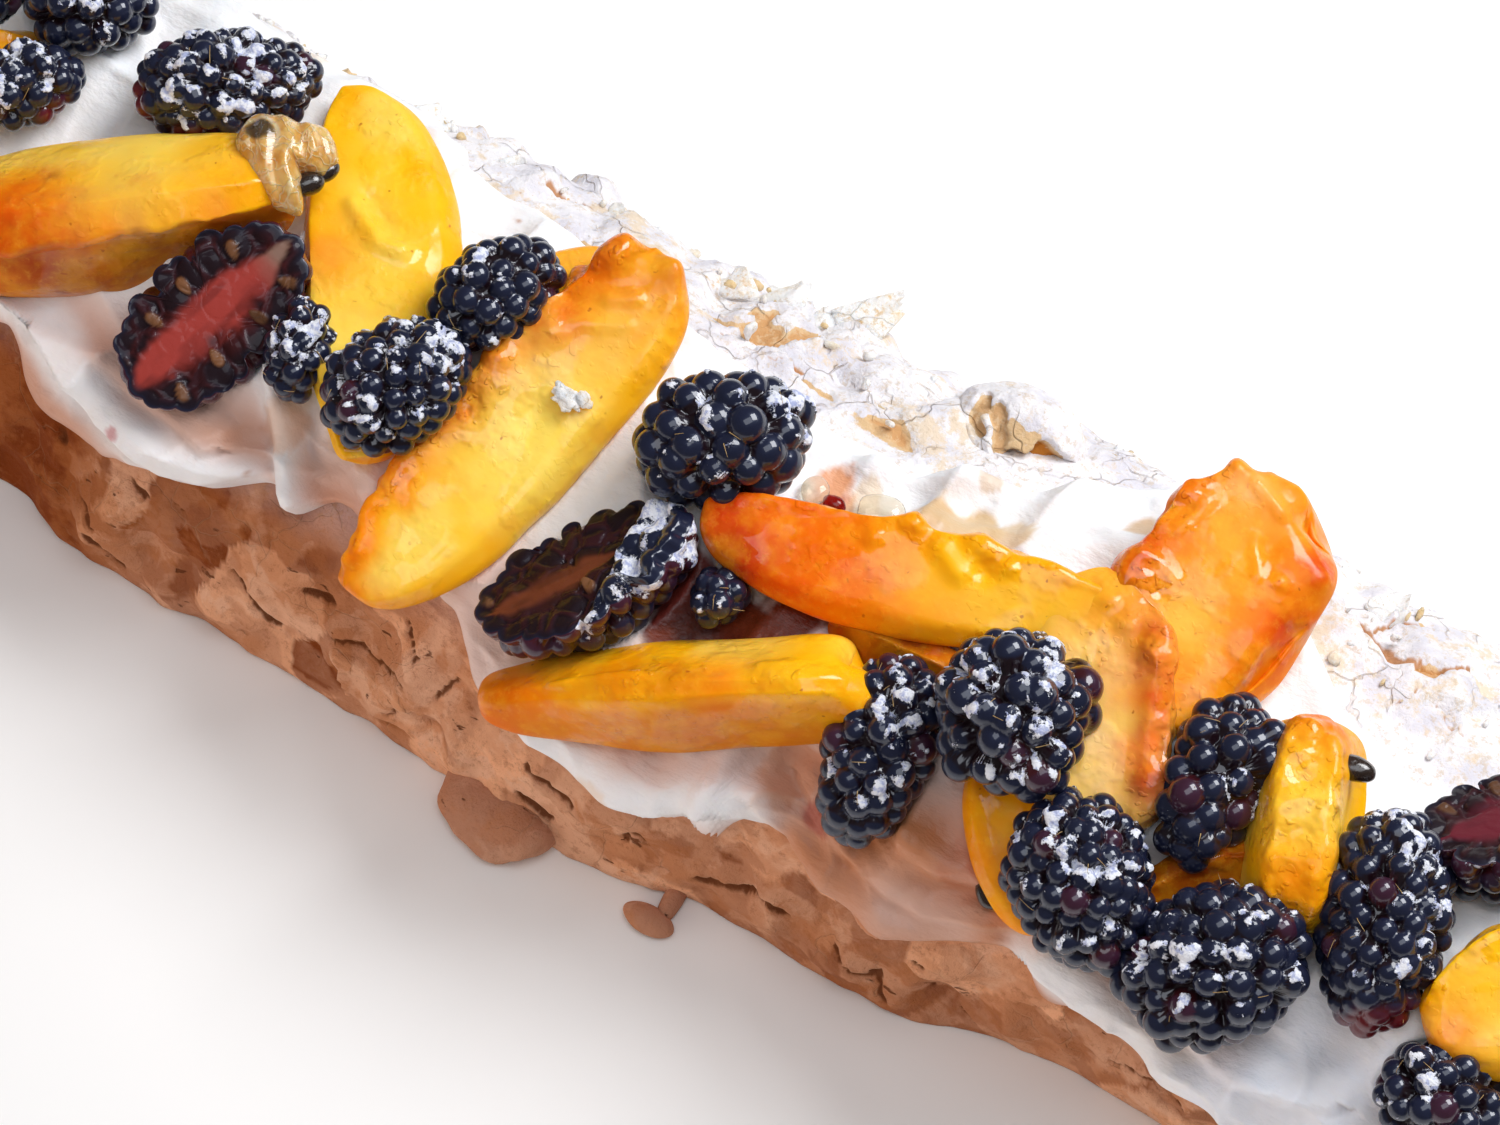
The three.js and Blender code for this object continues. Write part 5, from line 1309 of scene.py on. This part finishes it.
def peach_slice(one, seed):
    """A slice: its rounded section at each station, drawn in toward both tips as powers of the fullness
    there, its stone edge drawn out over the minus face as a ragged lip, then moved along its normals by
    torn lumps at the stone edge, soft swells, fine fibres along the cut faces and its own small forms."""
    axes, middle, length = laid_axes(one["start"], one["end"], one["roll"])
    t = -np.cos(math.pi * np.linspace(0, 1, 152))[1:-1]
    section = slice_section(132, one.get("lip", 0), one.get("soft", False))
    full = fullness(t, one.get("blunt", (2, 2)))[:, None]
    across, side = section[None, :, 0], section[None, :, 1]
    stone = -one["stone"] * full ** STONE_TAPER
    skin = one["skin"] * full ** SKIN_TAPER
    thickness = (one["rim"] + (one["back"] - one["rim"]) * across) * full ** THICKNESS_TAPER
    local = np.stack([t[:, None] * length / 2 + 0 * across, stone + (skin - stone) * across,
                      side * thickness / 2], axis=-1)
    spots = local + seed * 40.0
    overhang = np.exp(-(across / 0.13) ** 2) * rise(-side, 0.1, 0.9) * full
    local[..., 2] -= one.get("lip", 0) * overhang * (0.85 + 0.35 * layered(spots, 5, 3, seed + 15))
    edge = rise(across + 0.12 * noise(spots, 5, seed + 12), 0.26, 0.0)
    face = rise(np.abs(side) + 0 * full, 0.55, 0.95) * (1 - edge)
    torn = one["torn"] * edge * (1.1 * layered(spots, 4.2, 2, seed) + 0.3 * noise(spots, 1.8, seed + 1))
    swell = 0.6 * noise(spots, 14, seed + 2) + 0.28 * noise(spots, 6, seed + 3)
    fibres = 0.04 * noise(spots * np.array([0.2, 1.0, 1.0]), 1.0, seed + 4) * face
    world = local @ axes + middle
    own = sum(height * np.exp(-(line_distance(world, path) / reach) ** 2)
              for height, reach, path in one.get("forms", []))
    tight = rise(full, 0.0, 0.3)
    world = world + (normals_of(local) @ axes) * ((torn + swell + fibres + own) * tight)[..., None]
    marks = {"flesh": slice_colours(one, t[:, None], across + 0 * full, side + 0 * full, spots, world, seed),
             "torn": np.clip(edge * one["torn"] + 0.25 * rise(noise(spots, 9, seed + 13), 0.1, 0.5), 0, 1)}
    return closed_body(world, marks, [np.array([end * length / 2, 0, 0]) @ axes + middle for end in (-1, 1)])


def slice_colours(one, t, across, side, spots, world, seed):
    """Flesh from pale in the middle of the cut faces through yellow to gold at the skin, orange and red at
    the torn stone edge and at the marked tips, then the slice's own face tint, partly painted shade, and
    spots, some of them painted shade and painted light."""
    cloud = 0.5 + 0.5 * layered(spots, 12, 3, seed + 8)
    middle = rise(across, 0.1, 0.45) * rise(across, 1.0, 0.6)
    paleness = np.maximum(0.85 * middle * rise(cloud, 0.3, 0.7), one.get("pale", 0))
    colour = blend(TINTS["YELLOW"], TINTS["PALE"], paleness[..., None])
    warm = 0.5 * rise(across, 0.72, 1.0) + (0 if "lip" in one else 0.3) * rise(np.abs(side), 0.4, 0.0)
    colour = blend(colour, TINTS["GOLD"], warm[..., None])
    colour = blend(colour, TINTS["GOLD"], (min(1, 1.6 * one["orange"]) * (0.4 + 0.6 * cloud))[..., None])
    colour = blend(colour, TINTS["ORANGE"], (one["orange"] * 0.5 * (1.2 - cloud))[..., None])
    # The minus face tint: amber flesh deepened by painted shade for the face turned from the light.
    if "minus" in one:
        tint, strength = one["minus"]
        under = rise(-side + 0.1 * cloud, 0.5, 0.95) * rise(across, 0.03, 0.12) * rise(across, -0.6, 0.5)
        colour = blend(colour, TINTS[tint], (strength * under)[..., None])
    ragged = across + 0.10 * layered(spots, 5, 3, seed + 9)
    strongest = max(one["torn"], one["red"])
    colour = blend(colour, TINTS["GOLD"], (0.8 * strongest * rise(ragged, 0.45, 0.12))[..., None])
    orange = strongest * (0.2 + 0.6 * one["red"]) * rise(ragged, 0.3, 0.04)
    colour = blend(colour, TINTS["ORANGE"], orange[..., None])
    streaks = rise(noise(spots * np.array([0.5, 1, 1]), 3.2, seed + 10), -0.2, 0.55)
    colour = blend(colour, TINTS["RED"], (rise(ragged, 0.22, 0.02) * streaks * one["red"])[..., None])
    for end, tip in zip((-1, 1), one["tips"]):
        reach = rise(t * end + 0.16 * layered(spots, 9, 2, seed + 11), 0.4, 0.98)
        colour = blend(colour, TINTS["ORANGE"], (tip * 0.8 * reach)[..., None])
    broken = 1 + 0.3 * layered(spots, 4, 3, seed + 14)
    for x, y, z, reach, strength, tint in one.get("spots", []):
        away = np.linalg.norm(world - np.array([x, y, z]), axis=-1) * broken
        colour = blend(colour, TINTS[tint], (strength * np.exp(-(away / reach) ** 2))[..., None])
    return colour


# ---- pulp, juice, seeds and crumbs --------------------------------------------------------------
# Outline of the pouch of pulp in plan: direction in degrees and reach in mm.
PULP_OUTLINE = [(11, 6.8), (32, 8.1), (63, 8.0), (97, 6.0), (131, 6.9), (157, 8.1), (184, 7.6), (228, 5.4),
                (276, 6.2), (302, 8.1), (318, 9.2), (335, 5.6), (350, 3.8)]
PULP_MIDDLE = (-79.5, 4.5, 58.2)
PULP_SEED = dict(middle=(-4.4, 0.9, 4.0), radii=(2.9, 1.9, 3.0))
# Seeds: middle, radii, heading in degrees.
SEEDS = [((-74.4, 3.0, 58.2), (2.7, 1.8, 1.7), 50), ((98, 1, 55.6), (3.1, 1.8, 1.7), 10),
         ((61, -33.6, 36.8), (2.6, 1.8, 1.6), -50), ((-73.4, 6.6, 57.4), (2.1, 1.5, 1.4), 70)]
# Beads of clear juice: middle and radii.
JUICE = [((20.9, 5.0, 46.6), (3.7, 3.1, 1.5)), ((10.6, 3.6, 46.4), (2.0, 2.4, 1.1))]
# Drops of red juice: middle and radii.
RED_DROPS = [((13.9, 3.3, 45.8), (1.9, 1.3, 1.2)), ((18.2, 1.6, 45.8), (1.0, 0.8, 0.8))]
# The white crumb of meringue on a slice: middle and size of its three lumps.
WHITE_CRUMB = [((-25.9, -4.3, 51.08), 1.9), ((-24.0, -3.1, 51.17), 1.3), ((-27.4, -3.4, 50.99), 1.1)]


def pulp_body():
    """The pouch of pulp: a flat-bottomed lump in plan, its outline a smooth line through polar points,
    its top domed and folded, a seed showing through its left end."""
    levels = np.concatenate([np.linspace(0, 1, 40)[1:], np.linspace(1, 0, 16)[1:-1]])
    top = np.arange(len(levels)) < 39
    phi = 2 * math.pi * np.arange(120) / 120
    outline = line_through([(angle + turn, reach) for turn in (-360, 0, 360)
                            for angle, reach in PULP_OUTLINE])
    share, turn = np.meshgrid(levels, phi, indexing="ij")
    reach = outline(np.degrees(turn) % 360)
    flat = np.stack([share * reach * np.cos(turn), share * reach * np.sin(turn), 0 * share], axis=-1)
    dome = np.sqrt(np.maximum(0, 1 - share ** 2.6))
    folds = np.sin(1.5 * flat[..., 0] + 1.1 * flat[..., 1] + 2 * noise(flat, 4, 7))
    height = 4.4 * dome + (0.35 * folds + 0.9 * noise(flat, 4.5, 8)) * rise(share, 1.0, 0.75)
    under = -2.2 * np.sqrt(np.maximum(0, 1 - share ** 2))
    flat[..., 2] = np.where(top[:, None], height, under) - 0.06 * (flat[..., 0] - flat[..., 1])
    inside = np.linalg.norm((flat - np.array(PULP_SEED["middle"])) / np.array(PULP_SEED["radii"]), axis=-1)
    fold = np.abs(np.hypot(flat[..., 0] + 4.2, flat[..., 1] + 0.4) - 3.4)
    skin = rise(fold, 0.5, 0.1) * rise(flat[..., 1], -1.5, 0.5)
    return closed_body(flat + np.array(PULP_MIDDLE), {"seed": 0.9 * rise(inside, 1.15, 0.7), "skin": skin})


def seed_bodies():
    """Seeds: smooth ellipsoids, turned about the vertical."""
    bodies = []
    for number, (centre, radii, heading) in enumerate(SEEDS):
        local = lump((0, 0, 0), radii, 18, 26, 0.05, number, 2.0)
        c, s = math.cos(math.radians(heading)), math.sin(math.radians(heading))
        world = np.stack([local[..., 0] * c - local[..., 1] * s, local[..., 0] * s + local[..., 1] * c,
                          local[..., 2]], axis=-1)
        bodies.append(closed_body(world + np.array(centre)))
    return bodies


def white_crumb():
    """A crumb of meringue on a slice: three lumps run together."""
    bodies = []
    for number, (centre, size) in enumerate(WHITE_CRUMB):
        radii = size * 1.2, size * 0.9, size * 0.32
        points = lump(centre, radii, 20, 30, 0.5, number, 0.8)
        bodies.append(closed_body(points, plain_marks(points.shape[:2])))
    return bodies


# ---- the whole ----------------------------------------------------------------------------------
def build():
    """Every piece of the cake, from the crust up."""
    crust, cream, berry, peach = crust_paint(), cream_paint(), berry_paint(), peach_paint()
    make_piece("meringue_crust", [crust_body()], crust, ["meringue_base"])
    flakes = [flake_body(*one, seed) for seed, one in enumerate(FLAKES)]
    blobs = [foot_blob(one, seed) for seed, one in enumerate([DRIBBLE, CRUMB_STALK, CRUMB_HEAD])]
    # Flakes and crumbs take the paler copy of the crust, partly painted light.
    thin_and_lit = crust_paint("thin_meringue_painted_light", thin_and_lit=True)
    make_piece("crust_flakes", flakes, thin_and_lit, ["meringue_base"])
    make_piece("crust_blister", [blister_body()] + blobs, crust, ["meringue_base"])
    make_piece("crust_crumbs", crumb_bodies() + white_crumb(), thin_and_lit)
    make_piece("cream_swirl", [cream_body()], cream, ["whipped_cream"])
    for number, (name, one) in enumerate(BERRIES.items()):
        body = halved_berry(one, number + 3) if "cut" in one else whole_berry(one, number + 3)
        make_piece("bramble_" + name, [body], berry, ["dark_berry_" + name])
    make_piece("berry_hairs", hair_bodies(), hair_paint())
    for number, (name, one) in enumerate(SLICES.items()):
        make_piece("peach_" + name, [peach_slice(one, number + 40)], peach, ["peach_slice_" + name])
    make_piece("pulp_sac", [pulp_body()], pulp_paint(), ["passionfruit_pulp"])
    make_piece("fruit_seeds", seed_bodies(), seed_paint())
    beads = [closed_body(lump(*bead, 16, 24, 0.10, number, 2.5)) for number, bead in enumerate(JUICE)]
    make_piece("juice_beads", beads, juice_paint())
    drops = [closed_body(lump(*drop, 14, 20, 0.12, number, 2.0)) for number, drop in enumerate(RED_DROPS)]
    red = juice_paint("red_juice", ((0.30, 0.01, 0.01), (0.45, 0.03, 0.02)))
    make_piece("red_drops", drops, red)


# ---- floor, light and camera --------------------------------------------------------------------
TARGET = np.array([7.0, -8.35, 40.0])
AZIMUTH, ELEVATION, DISTANCE, LENS = 31.1, 64.0, 750.0, 126.0
FLOOR_HALF, FLOOR_DROP = 2000, 0.3
ROOM_LIGHT, ROOM_STRENGTH = (1.0, 0.97, 0.94, 1), 0.10
# Lamps: azimuth, elevation, distance, size, watts, colour, and whether glossy surfaces mirror them.
LAMPS = {
    "window": (150, 50, 900, (520, 440), 8.35, (0.98, 0.985, 1.0), True),
    "sky": (60, 80, 900, (700, 500), 2.8, (0.90, 0.94, 1.0), True),
    "warm_table": (-25, 10, 1000, (1900, 800), 7.7, (1.0, 0.83, 0.73), False),
}


def direction_to(azimuth, elevation):
    """Unit vector toward a place seen at that azimuth, from -Y toward +X, and elevation."""
    a, e = math.radians(azimuth), math.radians(elevation)
    return np.array([math.sin(a) * math.cos(e), -math.cos(a) * math.cos(e), math.sin(e)])


def aim(thing, target):
    """Points an object's -Z at the target, with its Y up."""
    thing.rotation_euler = (Vector(target * MM) - thing.location).to_track_quat("-Z", "Y").to_euler()


def soft_light(name, azimuth, elevation, distance, size, power, colour, mirrored):
    """A rectangular area light of that size in mm, aimed at the middle of the object, not seen itself
    and mirrored in glossy surfaces or not."""
    data = bpy.data.lights.new(name, "AREA")
    data.shape = "RECTANGLE"
    data.size, data.size_y = size[0] * MM, size[1] * MM
    data.energy = power
    data.color = colour
    lamp = bpy.data.objects.new(name, data)
    bpy.context.scene.collection.objects.link(lamp)
    lamp.visible_camera = False
    lamp.visible_glossy = mirrored
    lamp.location = (TARGET + direction_to(azimuth, elevation) * distance) * MM
    aim(lamp, TARGET)


def stage():
    """The pale floor, the room's light, the lamps and the camera."""
    corners = [(-1, -1), (1, -1), (1, 1), (-1, 1)]
    mesh = bpy.data.meshes.new("floor")
    mesh.from_pydata([(x * FLOOR_HALF * MM, y * FLOOR_HALF * MM, -FLOOR_DROP * MM) for x, y in corners], [],
                     [(0, 1, 2, 3)])
    paint = Paint("pale_floor", Roughness=0.8, Specular_IOR_Level=0.2)
    pale = paint.mix(paint.noise(60, 3), rgb(249, 249, 248), rgb(246, 246, 245))
    mesh.materials.append(paint.feed(Base_Color=pale))
    floor = bpy.data.objects.new("floor", mesh)
    bpy.context.scene.collection.objects.link(floor)
    world = bpy.data.worlds.new("studio")
    world.use_nodes = True
    world.node_tree.nodes["Background"].inputs["Color"].default_value = ROOM_LIGHT
    world.node_tree.nodes["Background"].inputs["Strength"].default_value = ROOM_STRENGTH
    bpy.context.scene.world = world
    for name, lamp in LAMPS.items():
        soft_light(name, *lamp)
    camera = bpy.data.objects.new("camera", bpy.data.cameras.new("camera"))
    camera.data.lens = LENS
    camera.data.sensor_width = 36
    camera.data.clip_start = 0.01
    bpy.context.scene.collection.objects.link(camera)
    camera.location = (TARGET + direction_to(AZIMUTH, ELEVATION) * DISTANCE) * MM
    aim(camera, TARGET)
    bpy.context.scene.camera = camera
    bpy.context.scene.view_settings.view_transform = "Standard"


stage()
build()
